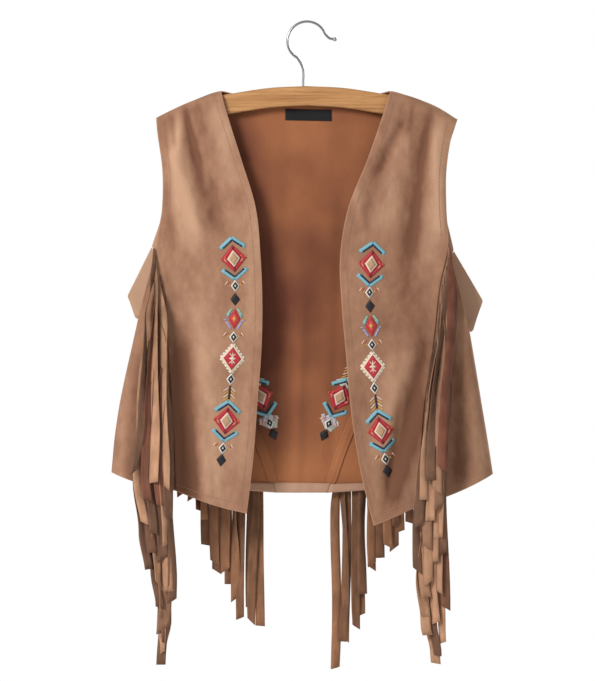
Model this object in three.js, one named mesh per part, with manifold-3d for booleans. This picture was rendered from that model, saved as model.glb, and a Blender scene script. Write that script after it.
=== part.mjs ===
// A fringed open vest of imitation suede, on a flat wooden hanger with a bent wire hook.
// Millimetres: x to the right as seen from the front, y away from the viewer, z up.
// The origin is the inner top of the hook, where a nail or peg bears.
import * as THREE from 'three';
import { mergeVertices } from 'three/addons/utils/BufferGeometryUtils.js';
import Module from 'manifold-3d';

const wasm = await Module();
wasm.setup();

// Driving sizes
const CLOTH = 1.5;
const SEAM_GAP = 0.3;
const SHOULDER_ROLL = 11;
const FRONT_DEPTH_AT_HEM = 25;
const BACK_DEPTH_AT_HEM = 24;
const DEPTH_FROM_Z = -120;
const WELL_BELOW_SHOULDER = 60;
const FOLD_FADE = 40;
const HEM_Z = -579;
const SIDE_FOLD_RADIUS = 32;
const SIDE_SEAM_ANGLE = THREE.MathUtils.degToRad(50);

const STRAND_WIDTH = 9;
const STRAND_THICKNESS = 1;
const FRONT_STRANDS = 22;
const FRONT_STRAND_LENGTH = 277;
const BACK_STRANDS = 22;
const BACK_STRAND_LENGTH = 250;
const FRINGE_STRIP_WIDTH = 7;
const FRINGE_STRIP_THICKNESS = 1.2;

const HANGER_CENTRE_X = 3;
const BAR_THICKNESS = 11;
const BAR_EDGE = 3;
const WIRE_RADIUS = 1.5;
const HOOK_RADIUS = 24;
const HOOK_CENTRE = { x: 3.7, z: 1.5 - HOOK_RADIUS };

const LABEL = { x: 5.4, z: -113, width: 57, height: 14, thickness: 0.8, tilt: -0.02 };

// Colours
const SUEDE = 0xa97f63;
const SUEDE_DARK = 0x8d6650;
const WOOD = 0xd0a066;
const STEEL = 0x9a9a9c;
const LABEL_BLACK = 0x17161a;

// Sections of the centre fronts, from the shoulder to the hem. The outer side is the armhole
// down to row 4, and the princess seam below it.
const FRONT_SECTIONS = {
  left: table('edgeX edgeZ outerX outerZ', [
    [-102, -84, -182, -117],
    [-97, -104, -180, -137],
    [-77, -168, -174, -182],
    [-59, -229, -174.5, -230],
    [-53, -291, -181, -275],
    [-51, -345, -171.5, -322],
    [-52, -401, -167, -392],
    [-57, -468, -162.5, -464],
    [-62, -535, -159, -523],
    [-70, -603, -157, -575],
  ]),
  right: table('edgeX edgeZ outerX outerZ', [
    [106, -84, 189, -119],
    [100, -104, 182, -137],
    [78, -168, 175, -182],
    [54, -229, 175, -230],
    [44, -291, 177, -275],
    [46, -345, 167, -322],
    [51, -405, 159, -392],
    [57, -473, 148, -464],
    [68, -545, 143, -532],
    [85, -618, 141.5, -593],
  ]),
};
const SEAM_TOP_ROW = 4;
const SEAM_ROWS = 14;
const SHOULDER_BULGE = { left: 2.6, right: 5 };
const FRONT_HEM_SAG = { left: 3, right: 1 };

// The fold at each side, from the foot of the armhole to the hem
const SIDE_FOLD = {
  left: table('x z', [[-205, -369], [-211, -395], [-226, -464], [-233, -510], [-237, -553]]),
  right: table('x z', [[205, -387], [209, -410], [219, -471], [226, -513], [232.5, -555]]),
};
const SIDE_HEM_SAG = 3.5;
const SEAM_RISE_AT_ARMHOLE = 17;
const ARMHOLE_TIP = { left: { x: -218, z: -336 }, right: { x: 221, z: -342 } };

// Sections of the centre back: armholes down to row 3, and the V seams below them
const BACK_SECTIONS = table('leftX leftZ rightX rightZ', [
  [-182, -117, 189, -119],
  [-174, -150, 179, -152],
  [-170, -214, 172, -214],
  [-188, -276, 185, -281],
  [-150, -330, 152, -334],
  [-127, -377, 124, -384],
  [-108, -424, 99, -418],
  [-90, -468, 77, -458],
  [-56, -515, 49, -520],
  [-34, HEM_Z, 29, HEM_Z],
]);
const V_TOP_ROW = 3;
const BACK_SIDE_HEM_SAG = 5;
const TIP_SHARE = 0.75;

// The back's top edge: shoulder seams outside the neck points, and the neck edge between them.
// Drop is how far below the shoulder roll the cloth is cut.
const BACK_TOP = table('x z drop', [
  [-182, -117, 0],
  [-157, -105.4, 0],
  [-127, -91.8, 0],
  [-102, -84, 0],
  [-88, -86.5, 3],
  [-66, -91.5, 10],
  [-32, -95.5, 16],
  [3, -97, 17],
  [38, -95.5, 16],
  [72, -91.5, 10],
  [94, -86.5, 3],
  [106, -84, 0],
  [133, -91.5, 0],
  [162, -102.6, 0],
  [189, -119, 0],
]);

// The largest folds: a soft ridge or, with a negative height, a trough along a line
const FRONT_FOLDS = table('topX topZ footX footZ width height', [
  [-152, -350, -137, -590, 12, -5],
  [-128, -330, -112, -600, 13, 2.5],
  [-143, -120, -122, -262, 9, -2.5],
  [-163, -125, -150, -275, 9, 1.5],
  [150, -400, 104, -575, 11, -5],
  [128, -330, 92, -540, 14, 2.5],
  [134, -110, 118, -420, 11, -3],
  [160, -130, 150, -300, 10, 1.5],
  [-190, -420, -200, -570, 12, -2],
  [190, -420, 198, -570, 12, -2],
]);
const BACK_FOLDS = table('topX topZ footX footZ width height', [
  [-120, -130, -96, -400, 16, 2.5],
  [-70, -150, -40, -520, 18, -2.5],
  [20, -140, 8, -575, 20, 2],
  [78, -150, 52, -500, 16, -2.5],
  [128, -140, 106, -380, 15, 2.5],
  [-160, -360, -120, -575, 16, 2.5],
  [162, -360, 118, -575, 16, 2.5],
  [-180, -330, -176, -570, 13, -2.5],
  [184, -330, 172, -570, 13, -2.5],
]);

// The bar's outline from its centre to its right end. The left end mirrors it.
const BAR_STATIONS = table('x top height', [
  [0, -78, 24],
  [45, -80.2, 24.5],
  [92, -87.2, 25],
  [120, -92.0, 25],
  [135, -96.9, 24],
  [150, -103.1, 22],
  [168, -112.4, 17],
]);
const BAR_END = { x: 178, z: -128 };

// The hook: a stem out of the bar, most of a turn, and a tip that turns up to a small bead
const HOOK_STEM = { x: -1, footZ: -92, shoulderZ: -74, neckZ: -56 };
const HOOK_ARC = { from: 240, to: 22, steps: 20 };
const HOOK_TIP = { x: 38, z: -20.3, bendX: 31.5, bendZ: -19.2, beadRadius: 2.5 };

// The front fringe hangs in four columns, and the back fringe in two layers
const FRONT_COLUMNS = 4;
const COLUMN_SPACING = 10.6;
const LAYER_SPACING = 3.2;
const ROOT_CLEARANCE = 5;
const FRONT_STRAND_LEVELS = [0, 16, 45, 100, 180, FRONT_STRAND_LENGTH];
const BACK_STRAND_LEVELS = [0, 12, 50, 140, BACK_STRAND_LENGTH];
const BACK_LAYER = { first: 2.2, spacing: 3.4 };
const STRAND_TURN = 0.22;
const FRONT_FRINGE = {
  left: { firstZ: -284, lastZ: -512, centreAtHem: -183, centreAtFoot: -174 },
  right: { firstZ: -284, lastZ: -512, centreAtHem: 158, centreAtFoot: 160 },
};
const BACK_FRINGE = {
  left: { firstX: -182, lastX: -50 },
  right: { firstX: 180, lastX: 42 },
};

function table(names, rows) {
  const keys = names.split(' ');
  return rows.map((row) => Object.fromEntries(keys.map((key, i) => [key, row[i]])));
}

function lerp(a, b, t) {
  return a + (b - a) * t;
}

function clamp01(t) {
  return Math.min(1, Math.max(0, t));
}

function smooth(t) {
  const s = clamp01(t);
  return s * s * (3 - 2 * s);
}

function range(count) {
  return Array.from({ length: count + 1 }, (_, i) => i / count);
}

// A smooth line through a table's rows, read by a share of the rows. It turns sharply at a
// corner row.
function rail(rows, xKey, zKey, cornerRow = rows.length - 1) {
  const points = rows.map((row) => new THREE.Vector3(row[xKey], 0, row[zKey]));
  const upper = new THREE.CatmullRomCurve3(points.slice(0, cornerRow + 1), false, 'centripetal');
  const hasLower = cornerRow < rows.length - 1;
  const lower = hasLower && new THREE.CatmullRomCurve3(points.slice(cornerRow), false, 'centripetal');
  const split = cornerRow / (rows.length - 1);
  return (v) => {
    if (v <= split) {
      return upper.getPoint(clamp01(v / split));
    }
    return lower.getPoint(clamp01((v - split) / (1 - split)));
  };
}

// How far a layer stands from the middle plane: the roll over the hanger, then a slow widening
function layerDepth(x, z, drop, depthAtHem, folds) {
  const rolled = Math.min(drop, SHOULDER_ROLL);
  const roll = Math.sqrt(Math.max(0, rolled * (2 * SHOULDER_ROLL - rolled)));
  const widening = smooth((DEPTH_FROM_Z - z) / (DEPTH_FROM_Z - HEM_Z) / 1.1);
  let depth = SEAM_GAP / 2 + roll + (depthAtHem - SHOULDER_ROLL) * widening;
  const fadeIn = smooth((drop - SHOULDER_ROLL) / FOLD_FADE);
  for (const fold of folds) {
    depth += fadeIn * foldHeight(fold, x, z);
  }
  return depth;
}

function foldHeight(fold, x, z) {
  const dx = fold.footX - fold.topX;
  const dz = fold.footZ - fold.topZ;
  const length = Math.hypot(dx, dz);
  const along = ((x - fold.topX) * dx + (z - fold.topZ) * dz) / (length * length);
  const across = ((x - fold.topX) * dz - (z - fold.topZ) * dx) / length;
  const fade = smooth(along / 0.3 + 0.5) * smooth((1.1 - along) / 0.25);
  return fold.height * fade * Math.exp(-((across / fold.width) ** 2));
}

function frontY(x, z, drop = WELL_BELOW_SHOULDER) {
  return -layerDepth(x, z, drop, FRONT_DEPTH_AT_HEM, FRONT_FOLDS);
}

function backY(x, z, drop = WELL_BELOW_SHOULDER) {
  return layerDepth(x, z, drop, BACK_DEPTH_AT_HEM, BACK_FOLDS);
}

// Outward normals of the layers, which panels share along a seam
function layerNormal(layer, outY, x, z) {
  const step = 1;
  const slopeX = (layer(x + step, z) - layer(x - step, z)) / (2 * step);
  const slopeZ = (layer(x, z + step) - layer(x, z - step)) / (2 * step);
  return new THREE.Vector3(-slopeX, 1, -slopeZ).multiplyScalar(outY).normalize();
}

// Outward normals of a grid of points, from its neighbours where none is given. OutY is the
// sign of y on the outside of the grid's first column.
function gridNormals(grid, outY) {
  const last = grid.length - 1;
  const normals = grid.map((row, i) => row.map((_, j) => {
    const end = row.length - 1;
    const down = grid[Math.min(last, i + 1)][j].clone().sub(grid[Math.max(0, i - 1)][j]);
    const across = row[Math.min(end, j + 1)].clone().sub(row[Math.max(0, j - 1)]);
    return across.cross(down).normalize();
  }));
  const middle = normals[Math.floor(last / 2)][0];
  const sign = Math.sign(middle.y) * outY;
  return grid.map((row, i) => row.map((point, j) => (
    point.normal ?? normals[i][j].multiplyScalar(sign)
  )));
}

// A closed wall between a grid of outer points and the same grid moved inwards
function wall(grid, outY, thickness = CLOTH) {
  const normals = gridNormals(grid, outY);
  const rows = grid.length;
  const columns = grid[0].length;
  const positions = [];
  for (const inward of [0, thickness]) {
    grid.forEach((row, i) => row.forEach((point, j) => {
      positions.push(...point.clone().addScaledVector(normals[i][j], -inward).toArray());
    }));
  }
  const at = (i, j, inner) => (inner ? rows * columns : 0) + i * columns + j;
  const index = [];
  const quad = (a, b, c, d) => index.push(a, b, c, a, c, d);
  for (let i = 0; i < rows - 1; i += 1) {
    for (let j = 0; j < columns - 1; j += 1) {
      quad(at(i, j, 0), at(i + 1, j, 0), at(i + 1, j + 1, 0), at(i, j + 1, 0));
      quad(at(i, j, 1), at(i, j + 1, 1), at(i + 1, j + 1, 1), at(i + 1, j, 1));
    }
  }
  for (let i = 0; i < rows - 1; i += 1) {
    quad(at(i, 0, 0), at(i, 0, 1), at(i + 1, 0, 1), at(i + 1, 0, 0));
    const j = columns - 1;
    quad(at(i, j, 0), at(i + 1, j, 0), at(i + 1, j, 1), at(i, j, 1));
  }
  for (let j = 0; j < columns - 1; j += 1) {
    quad(at(0, j, 0), at(0, j + 1, 0), at(0, j + 1, 1), at(0, j, 1));
    const i = rows - 1;
    quad(at(i, j, 0), at(i, j, 1), at(i, j + 1, 1), at(i, j + 1, 0));
  }
  return closedGeometry(positions, index);
}

function closedGeometry(positions, index) {
  const geometry = new THREE.BufferGeometry();
  geometry.setAttribute('position', new THREE.Float32BufferAttribute(positions, 3));
  geometry.setIndex(index);
  if (signedVolume(geometry) < 0) {
    for (let i = 0; i < index.length; i += 3) {
      [index[i + 1], index[i + 2]] = [index[i + 2], index[i + 1]];
    }
    geometry.setIndex(index);
  }
  geometry.computeVertexNormals();
  return geometry;
}

function signedVolume(geometry) {
  const position = geometry.getAttribute('position');
  const index = geometry.getIndex();
  const corner = (k) => new THREE.Vector3().fromBufferAttribute(position, index.getX(k));
  let volume = 0;
  for (let i = 0; i < index.count; i += 3) {
    volume += corner(i).dot(corner(i + 1).cross(corner(i + 2))) / 6;
  }
  return volume;
}

function toSolid(geometry) {
  const bare = geometry.clone();
  bare.deleteAttribute('normal');
  bare.deleteAttribute('uv');
  const merged = mergeVertices(bare, 1e-4);
  return new wasm.Manifold(new wasm.Mesh({
    numProp: 3,
    vertProperties: new Float32Array(merged.getAttribute('position').array),
    triVerts: new Uint32Array(merged.getIndex().array),
  }));
}

function fromSolid(solid) {
  const mesh = solid.getMesh();
  const geometry = new THREE.BufferGeometry();
  geometry.setAttribute('position', new THREE.BufferAttribute(mesh.vertProperties, 3));
  geometry.setIndex(new THREE.BufferAttribute(mesh.triVerts, 1));
  geometry.computeVertexNormals();
  return geometry;
}

function named(name, geometry, colour, roughness = 0.95, metalness = 0) {
  const material = new THREE.MeshStandardMaterial({ color: colour, roughness, metalness });
  const mesh = new THREE.Mesh(geometry, material);
  mesh.name = name;
  return mesh;
}

// Rows of a panel that starts at the shoulder, as shares of its table: close together over the
// roll, then even down to a corner row, then the seam's own rows
function shoulderRows(sectionRows, firstStep, cornerRow, evenRows) {
  const roll = [0, 25, 50, 75, 90].map((degrees) => {
    const angle = THREE.MathUtils.degToRad(degrees);
    return SHOULDER_ROLL * (1 - Math.cos(angle)) / firstStep / sectionRows;
  });
  const start = roll[roll.length - 1];
  const corner = cornerRow / sectionRows;
  const even = range(evenRows).slice(1).map((t) => lerp(start, corner, t));
  const seam = range(SEAM_ROWS).slice(1).map((t) => lerp(corner, 1, t));
  return [...roll, ...even, ...seam];
}

// Centre front

// At the shoulder seam both layers face straight up from the seam
function shoulderNormal(side) {
  const [top] = FRONT_SECTIONS[side];
  const slope = (top.outerZ - top.edgeZ) / (top.outerX - top.edgeX);
  return new THREE.Vector3(-slope, 0, 1).normalize();
}

function frontPanel(side) {
  const rows = FRONT_SECTIONS[side];
  const edge = rail(rows, 'edgeX', 'edgeZ');
  const outer = rail(rows, 'outerX', 'outerZ');
  const bulge = SHOULDER_BULGE[side];
  const sag = FRONT_HEM_SAG[side];
  const columns = range(10);
  const shares = shoulderRows(rows.length - 1, 20, SEAM_TOP_ROW, 8);
  const seamGapShare = (width) => SEAM_GAP / 2 / width;
  const topZ = columns.map((u) => lerp(edge(0).z, outer(0).z, u) + bulge * Math.sin(Math.PI * u));
  return shares.map((v) => columns.map((column, j) => {
    const a = edge(v);
    const b = outer(v);
    const belowSeamTop = v * (rows.length - 1) >= SEAM_TOP_ROW;
    const u = belowSeamTop ? column * (1 - seamGapShare(a.distanceTo(b))) : column;
    const x = lerp(a.x, b.x, u);
    const raise = bulge * Math.sin(Math.PI * u) * (1 - smooth(v * 4));
    const lower = sag * Math.sin(Math.PI * u) * smooth(v * 3 - 2);
    const z = lerp(a.z, b.z, u) + raise - lower;
    const point = new THREE.Vector3(x, frontY(x, z, Math.max(0, topZ[j] - z)), z);
    if (v === 0) {
      point.normal = shoulderNormal(side);
    } else if (belowSeamTop && column === 1) {
      point.normal = layerNormal(frontY, -1, x, z);
    }
    return point;
  }));
}

// Side front: from the princess seam round the side fold to the side seam on the back

function princessSeam(side) {
  const rows = FRONT_SECTIONS[side];
  const outer = rail(rows, 'outerX', 'outerZ');
  const top = SEAM_TOP_ROW / (rows.length - 1);
  return (v) => outer(lerp(top, 1, v));
}

function foldLine(side) {
  return rail(SIDE_FOLD[side], 'x', 'z');
}

function seamRise(v) {
  return SEAM_RISE_AT_ARMHOLE * (1 - smooth(v * 3)) + 2;
}

function foldBackDepth(fold) {
  return backY(fold.x, fold.z);
}

function aroundFold(side, v, angle) {
  const inward = side === 'left' ? 1 : -1;
  const fold = foldLine(side)(v);
  const rise = seamRise(v) * (angle / SIDE_SEAM_ANGLE);
  return new THREE.Vector3(
    fold.x + inward * SIDE_FOLD_RADIUS * (1 - Math.cos(angle)),
    foldBackDepth(fold) * Math.sin(angle),
    fold.z + rise,
  );
}

function foldNormal(side, v, angle) {
  const outward = side === 'left' ? -1 : 1;
  const depth = foldBackDepth(foldLine(side)(v));
  return new THREE.Vector3(
    outward * Math.cos(angle) / SIDE_FOLD_RADIUS,
    Math.sin(angle) / depth,
    0,
  ).normalize();
}

function sideFrontPanel(side) {
  const seam = princessSeam(side);
  const fold = foldLine(side);
  const flat = range(4).map((t) => ({ flat: t }));
  const roundAngles = [25, 50, 72, 90].map((d) => ({ round: THREE.MathUtils.degToRad(d) }));
  const gapAngle = SEAM_GAP / 2 / FRONT_DEPTH_AT_HEM;
  const backAngles = [0.4, 0.75, 1].map((t) => ({ back: t * (SIDE_SEAM_ANGLE - gapAngle) }));
  const columns = [...flat, ...roundAngles, ...backAngles];
  return range(SEAM_ROWS).map((v) => columns.map((column) => {
    if (column.back !== undefined) {
      const point = aroundFold(side, v, column.back);
      point.normal = foldNormal(side, v, column.back);
      return point;
    }
    const a = seam(v);
    const b = fold(v);
    const width = a.distanceTo(b);
    const flatShare = 1 - SIDE_FOLD_RADIUS / width;
    const isFlat = column.flat !== undefined;
    const gapShare = SEAM_GAP / 2 / width;
    const w = isFlat
      ? lerp(gapShare, flatShare, column.flat)
      : lerp(flatShare, 1, Math.sin(column.round));
    const x = lerp(a.x, b.x, w);
    const z = lerp(a.z, b.z, w) - SIDE_HEM_SAG * Math.sin(Math.PI * w) * smooth(v * 3 - 2);
    const rounding = isFlat ? 1 : Math.cos(column.round);
    const point = new THREE.Vector3(x, frontY(x, z) * rounding, z);
    if (column.flat === 0) {
      point.normal = layerNormal(frontY, -1, x, z);
    }
    return point;
  }));
}

// Centre back

function backCentrePanel() {
  const left = rail(BACK_SECTIONS, 'leftX', 'leftZ', V_TOP_ROW);
  const right = rail(BACK_SECTIONS, 'rightX', 'rightZ', V_TOP_ROW);
  const shares = shoulderRows(BACK_SECTIONS.length - 1, 33, V_TOP_ROW, 7);
  const first = BACK_TOP[0].x;
  const last = BACK_TOP[BACK_TOP.length - 1].x;
  const columns = BACK_TOP.flatMap((station, k) => {
    const next = BACK_TOP[k + 1];
    if (!next) {
      return [station];
    }
    const middle = {
      x: (station.x + next.x) / 2,
      z: (station.z + next.z) / 2,
      drop: (station.drop + next.drop) / 2,
    };
    return Math.abs(station.x) < 95 && Math.abs(next.x) < 95 ? [station, middle] : [station];
  });
  const gap = SEAM_GAP / 2;
  return shares.map((v) => columns.map((top) => {
    const share = (top.x - first) / (last - first);
    const a = left(v);
    const b = right(v);
    const belowV = v * (BACK_SECTIONS.length - 1) >= V_TOP_ROW;
    const gapShare = belowV ? gap / a.distanceTo(b) : 0;
    const u = lerp(gapShare, 1 - gapShare, share);
    const x = lerp(a.x, b.x, u);
    const topLine = lerp(left(0).z, right(0).z, share);
    const z = lerp(a.z, b.z, u) + (top.z - topLine) * (1 - smooth(v * 2.2));
    const drop = Math.max(0, top.z - z) + top.drop;
    const point = new THREE.Vector3(x, backY(x, z, drop), z);
    if (v === 0 && top.drop === 0) {
      point.normal = shoulderNormal(top.x < 0 ? 'left' : 'right');
    } else if (belowV && (share === 0 || share === 1)) {
      point.normal = layerNormal(backY, 1, x, z);
    }
    return point;
  }));
}

// Side back: from the V seam to the side seam, with the armhole as its top edge

function backSidePanel(side) {
  const isLeft = side === 'left';
  const centre = rail(BACK_SECTIONS, isLeft ? 'leftX' : 'rightX', isLeft ? 'leftZ' : 'rightZ', V_TOP_ROW);
  const top = V_TOP_ROW / (BACK_SECTIONS.length - 1);
  const gapAngle = SEAM_GAP / 2 / BACK_DEPTH_AT_HEM;
  const outward = isLeft ? -1 : 1;
  const tip = ARMHOLE_TIP[side];
  const columns = range(8);
  return range(SEAM_ROWS).map((v) => {
    const a = centre(lerp(top, 1, v));
    a.x += outward * SEAM_GAP / 2;
    const b = aroundFold(side, v, SIDE_SEAM_ANGLE + gapAngle);
    return columns.map((u) => {
      const nearArmhole = 1 - smooth(v * 4);
      const edge = u < TIP_SHARE
        ? { x: lerp(a.x, tip.x, u / TIP_SHARE), z: lerp(a.z, tip.z, u / TIP_SHARE) }
        : {
          x: lerp(tip.x, b.x, (u - TIP_SHARE) / (1 - TIP_SHARE)),
          z: lerp(tip.z, b.z, (u - TIP_SHARE) / (1 - TIP_SHARE)),
        };
      const sag = BACK_SIDE_HEM_SAG * Math.sin(Math.PI * u) * smooth(v * 2 - 1);
      const x = lerp(lerp(a.x, b.x, u), edge.x, nearArmhole);
      const z = lerp(lerp(a.z, b.z, u), edge.z, nearArmhole) - sag;
      const distance = Math.hypot(x - b.x, z - b.z);
      const q = clamp01(distance / SIDE_FOLD_RADIUS);
      const full = backY(x, z);
      const point = new THREE.Vector3(x, lerp(b.y, full, q * (2 - q)), z);
      if (u === 0) {
        point.normal = layerNormal(backY, 1, x, z);
      } else if (u === 1) {
        point.normal = foldNormal(side, v, SIDE_SEAM_ANGLE);
      }
      return point;
    });
  });
}

// Fringe

// A ribbon of four sides through stations of centre, turn about the vertical and width
function strand(stations) {
  const positions = [];
  const index = [];
  stations.forEach(({ centre, turn, width }) => {
    const wide = new THREE.Vector3(Math.cos(turn), Math.sin(turn), 0).multiplyScalar(width / 2);
    const thick = new THREE.Vector3(-Math.sin(turn), Math.cos(turn), 0).multiplyScalar(STRAND_THICKNESS / 2);
    for (const [w, t] of [[-1, -1], [1, -1], [1, 1], [-1, 1]]) {
      positions.push(...centre.clone().addScaledVector(wide, w).addScaledVector(thick, t).toArray());
    }
  });
  for (let i = 0; i < stations.length - 1; i += 1) {
    for (let k = 0; k < 4; k += 1) {
      const a = i * 4 + k;
      const b = i * 4 + ((k + 1) % 4);
      index.push(a, a + 4, b + 4, a, b + 4, b);
    }
  }
  const end = (stations.length - 1) * 4;
  index.push(0, 1, 2, 0, 2, 3, end, end + 2, end + 1, end, end + 3, end + 2);
  return closedGeometry(positions, index);
}

// The strip that the strands are cut from: a narrow band along a seam, just off the cloth
function fringeStrip(points, outward, layer) {
  const grid = points.map((point) => {
    const across = [-1, -0.5, 0, 0.5, 1].map((t) => layer(point.x + t * FRINGE_STRIP_WIDTH, point.z));
    const proud = outward * Math.max(...across.map((y) => outward * y));
    return [-0.5, 0.5].map((t) => new THREE.Vector3(
      point.x + t * FRINGE_STRIP_WIDTH,
      proud + outward * (SEAM_GAP + FRINGE_STRIP_THICKNESS),
      point.z,
    ));
  });
  const normalIn = outward < 0 ? FRINGE_STRIP_THICKNESS : -FRINGE_STRIP_THICKNESS;
  const positions = [];
  for (const offset of [0, normalIn]) {
    grid.forEach((row) => row.forEach((point) => {
      positions.push(point.x, point.y + offset, point.z);
    }));
  }
  const rows = grid.length;
  const at = (i, j, inner) => (inner ? rows * 2 : 0) + i * 2 + j;
  const index = [];
  const quad = (a, b, c, d) => index.push(a, b, c, a, c, d);
  for (let i = 0; i < rows - 1; i += 1) {
    quad(at(i, 0, 0), at(i + 1, 0, 0), at(i + 1, 1, 0), at(i, 1, 0));
    quad(at(i, 0, 1), at(i, 1, 1), at(i + 1, 1, 1), at(i + 1, 0, 1));
    quad(at(i, 0, 0), at(i, 0, 1), at(i + 1, 0, 1), at(i + 1, 0, 0));
    quad(at(i, 1, 0), at(i + 1, 1, 0), at(i + 1, 1, 1), at(i, 1, 1));
  }
  quad(at(0, 0, 0), at(0, 1, 0), at(0, 1, 1), at(0, 0, 1));
  quad(at(rows - 1, 0, 0), at(rows - 1, 0, 1), at(rows - 1, 1, 1), at(rows - 1, 1, 0));
  return closedGeometry(positions, index);
}

function fuse(geometries) {
  return fromSolid(geometries.map(toSolid).reduce((sum, solid) => sum.add(solid)));
}

function seamPointAt(seam, z, layer) {
  let low = 0;
  let high = 1;
  for (let i = 0; i < 30; i += 1) {
    const middle = (low + high) / 2;
    if (seam(middle).z > z) {
      low = middle;
    } else {
      high = middle;
    }
  }
  const point = seam(low);
  return new THREE.Vector3(point.x, layer(point.x, point.z), point.z);
}

function passedLayers(distance) {
  const spacing = (FRONT_FRINGE.left.firstZ - FRONT_FRINGE.left.lastZ) / (FRONT_STRANDS - 1);
  const near = ROOT_CLEARANCE * (1 - Math.exp(-distance / (1.8 * spacing)));
  return near + LAYER_SPACING * distance / (FRONT_COLUMNS * spacing);
}

// The furthest that the front stands out within a reach of x
function proudFront(x, z, reach) {
  return Math.min(...range(6).map((t) => frontY(x + lerp(-reach, reach, t), z)));
}

function frontFringe(side) {
  const sizes = FRONT_FRINGE[side];
  const outward = side === 'left' ? -1 : 1;
  const seam = princessSeam(side);
  const rootLine = (z) => seamPointAt(seam, z, frontY);
  const rootZ = (i) => lerp(sizes.firstZ, sizes.lastZ, i / (FRONT_STRANDS - 1));
  const strip = range(8).map((t) => rootLine(lerp(sizes.firstZ + 6, sizes.lastZ - 6, t)));
  const pieces = [fringeStrip(strip, -1, frontY)];
  for (let i = 0; i < FRONT_STRANDS; i += 1) {
    const top = rootZ(i);
    const root = rootLine(top);
    const column = (i % FRONT_COLUMNS) - (FRONT_COLUMNS - 1) / 2;
    const stations = FRONT_STRAND_LEVELS.map((level) => {
      const z = top - level;
      const seamX = rootLine(Math.max(z, sizes.lastZ)).x;
      const hemShare = smooth((sizes.firstZ - z) / (sizes.firstZ - HEM_Z));
      const footShare = smooth((HEM_Z - z) / (HEM_Z - sizes.lastZ + FRONT_STRAND_LENGTH));
      const hemX = lerp(seamX + outward * 14, sizes.centreAtHem, hemShare);
      const centreX = lerp(hemX, sizes.centreAtFoot, footShare);
      const spread = smooth(level / 45);
      const x = lerp(root.x, centreX + outward * column * COLUMN_SPACING, spread);
      const clothZ = Math.max(z, HEM_Z);
      const surface = level === 0 ? proudFront(root.x, clothZ, 7) : proudFront(centreX, clothZ, 24);
      const passed = Math.min(level, top - sizes.lastZ + 30);
      const y = surface - SEAM_GAP - FRINGE_STRIP_THICKNESS / 2 - passedLayers(passed);
      const turn = STRAND_TURN * Math.sin(level / 62 + column) * smooth((level - 20) / 60);
      return { centre: new THREE.Vector3(x, y, z), turn, width: STRAND_WIDTH };
    });
    pieces.push(strand(stations));
  }
  return fuse(pieces);
}

// The furthest that the back stands out near x, from a height down to z
function proudBack(x, z, fromZ) {
  const near = [-7, 0, 7].flatMap((dx) => range(6).map((t) => backY(x + dx, lerp(fromZ, z, t))));
  return Math.max(...near);
}

function backFringe(side) {
  const isLeft = side === 'left';
  const sizes = BACK_FRINGE[side];
  const seamRail = rail(BACK_SECTIONS, isLeft ? 'leftX' : 'rightX', isLeft ? 'leftZ' : 'rightZ', V_TOP_ROW);
  const top = V_TOP_ROW / (BACK_SECTIONS.length - 1);
  const seam = (v) => seamRail(lerp(top, 1, v));
  const rootAt = (x) => {
    let low = 0;
    let high = 1;
    for (let i = 0; i < 30; i += 1) {
      const middle = (low + high) / 2;
      if (Math.abs(seam(middle).x) > Math.abs(x)) {
        low = middle;
      } else {
        high = middle;
      }
    }
    const point = seam(low);
    return new THREE.Vector3(x, backY(x, point.z), point.z);
  };
  const strip = range(8).map((t) => rootAt(lerp(sizes.firstX, sizes.lastX, t)));
  const pieces = [fringeStrip(strip, 1, backY)];
  for (let i = 0; i < BACK_STRANDS; i += 1) {
    const root = rootAt(lerp(sizes.firstX, sizes.lastX, i / (BACK_STRANDS - 1)));
    const layer = i % 2;
    const stations = BACK_STRAND_LEVELS.map((level) => {
      const z = root.z - level;
      const surface = proudBack(root.x, Math.max(z, HEM_Z), root.z);
      const layerOut = (BACK_LAYER.first + BACK_LAYER.spacing * layer) * smooth(level / 14);
      const out = SEAM_GAP + FRINGE_STRIP_THICKNESS / 2 + layerOut;
      const turn = STRAND_TURN * Math.sin(level / 70 + layer) * smooth((level - 20) / 60);
      return { centre: new THREE.Vector3(root.x, surface + out, z), turn, width: STRAND_WIDTH };
    });
    pieces.push(strand(stations));
  }
  return fuse(pieces);
}

// Label

function neckLabel() {
  const grid = range(2).map((v) => range(8).map((u) => {
    const x = LABEL.x + (u - 0.5) * LABEL.width;
    const z = LABEL.z - (v - 0.5) * LABEL.height + (u - 0.5) * LABEL.width * LABEL.tilt;
    return new THREE.Vector3(x, backY(x, z) - CLOTH - SEAM_GAP, z);
  }));
  return wall(grid, 1, LABEL.thickness);
}

// Hanger

function barOutline() {
  const topCurve = BAR_STATIONS.map((s) => new THREE.Vector2(s.x, s.top));
  const lowerCurve = BAR_STATIONS.map((s) => new THREE.Vector2(s.x, s.top - s.height)).reverse();
  const end = new THREE.Vector2(BAR_END.x, BAR_END.z);
  const upperEnd = new THREE.Vector2(BAR_END.x - 3, BAR_END.z + 9);
  const top = new THREE.SplineCurve([...topCurve, upperEnd]).getPoints(18);
  const lower = new THREE.SplineCurve([end, ...lowerCurve]).getPoints(14);
  const half = [...top, ...lower];
  const mirrored = half.slice(1, -1).reverse().map((p) => new THREE.Vector2(-p.x, p.y));
  return new THREE.Shape([...half, ...mirrored].map((p) => new THREE.Vector2(p.x + HANGER_CENTRE_X, p.y)));
}

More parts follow.
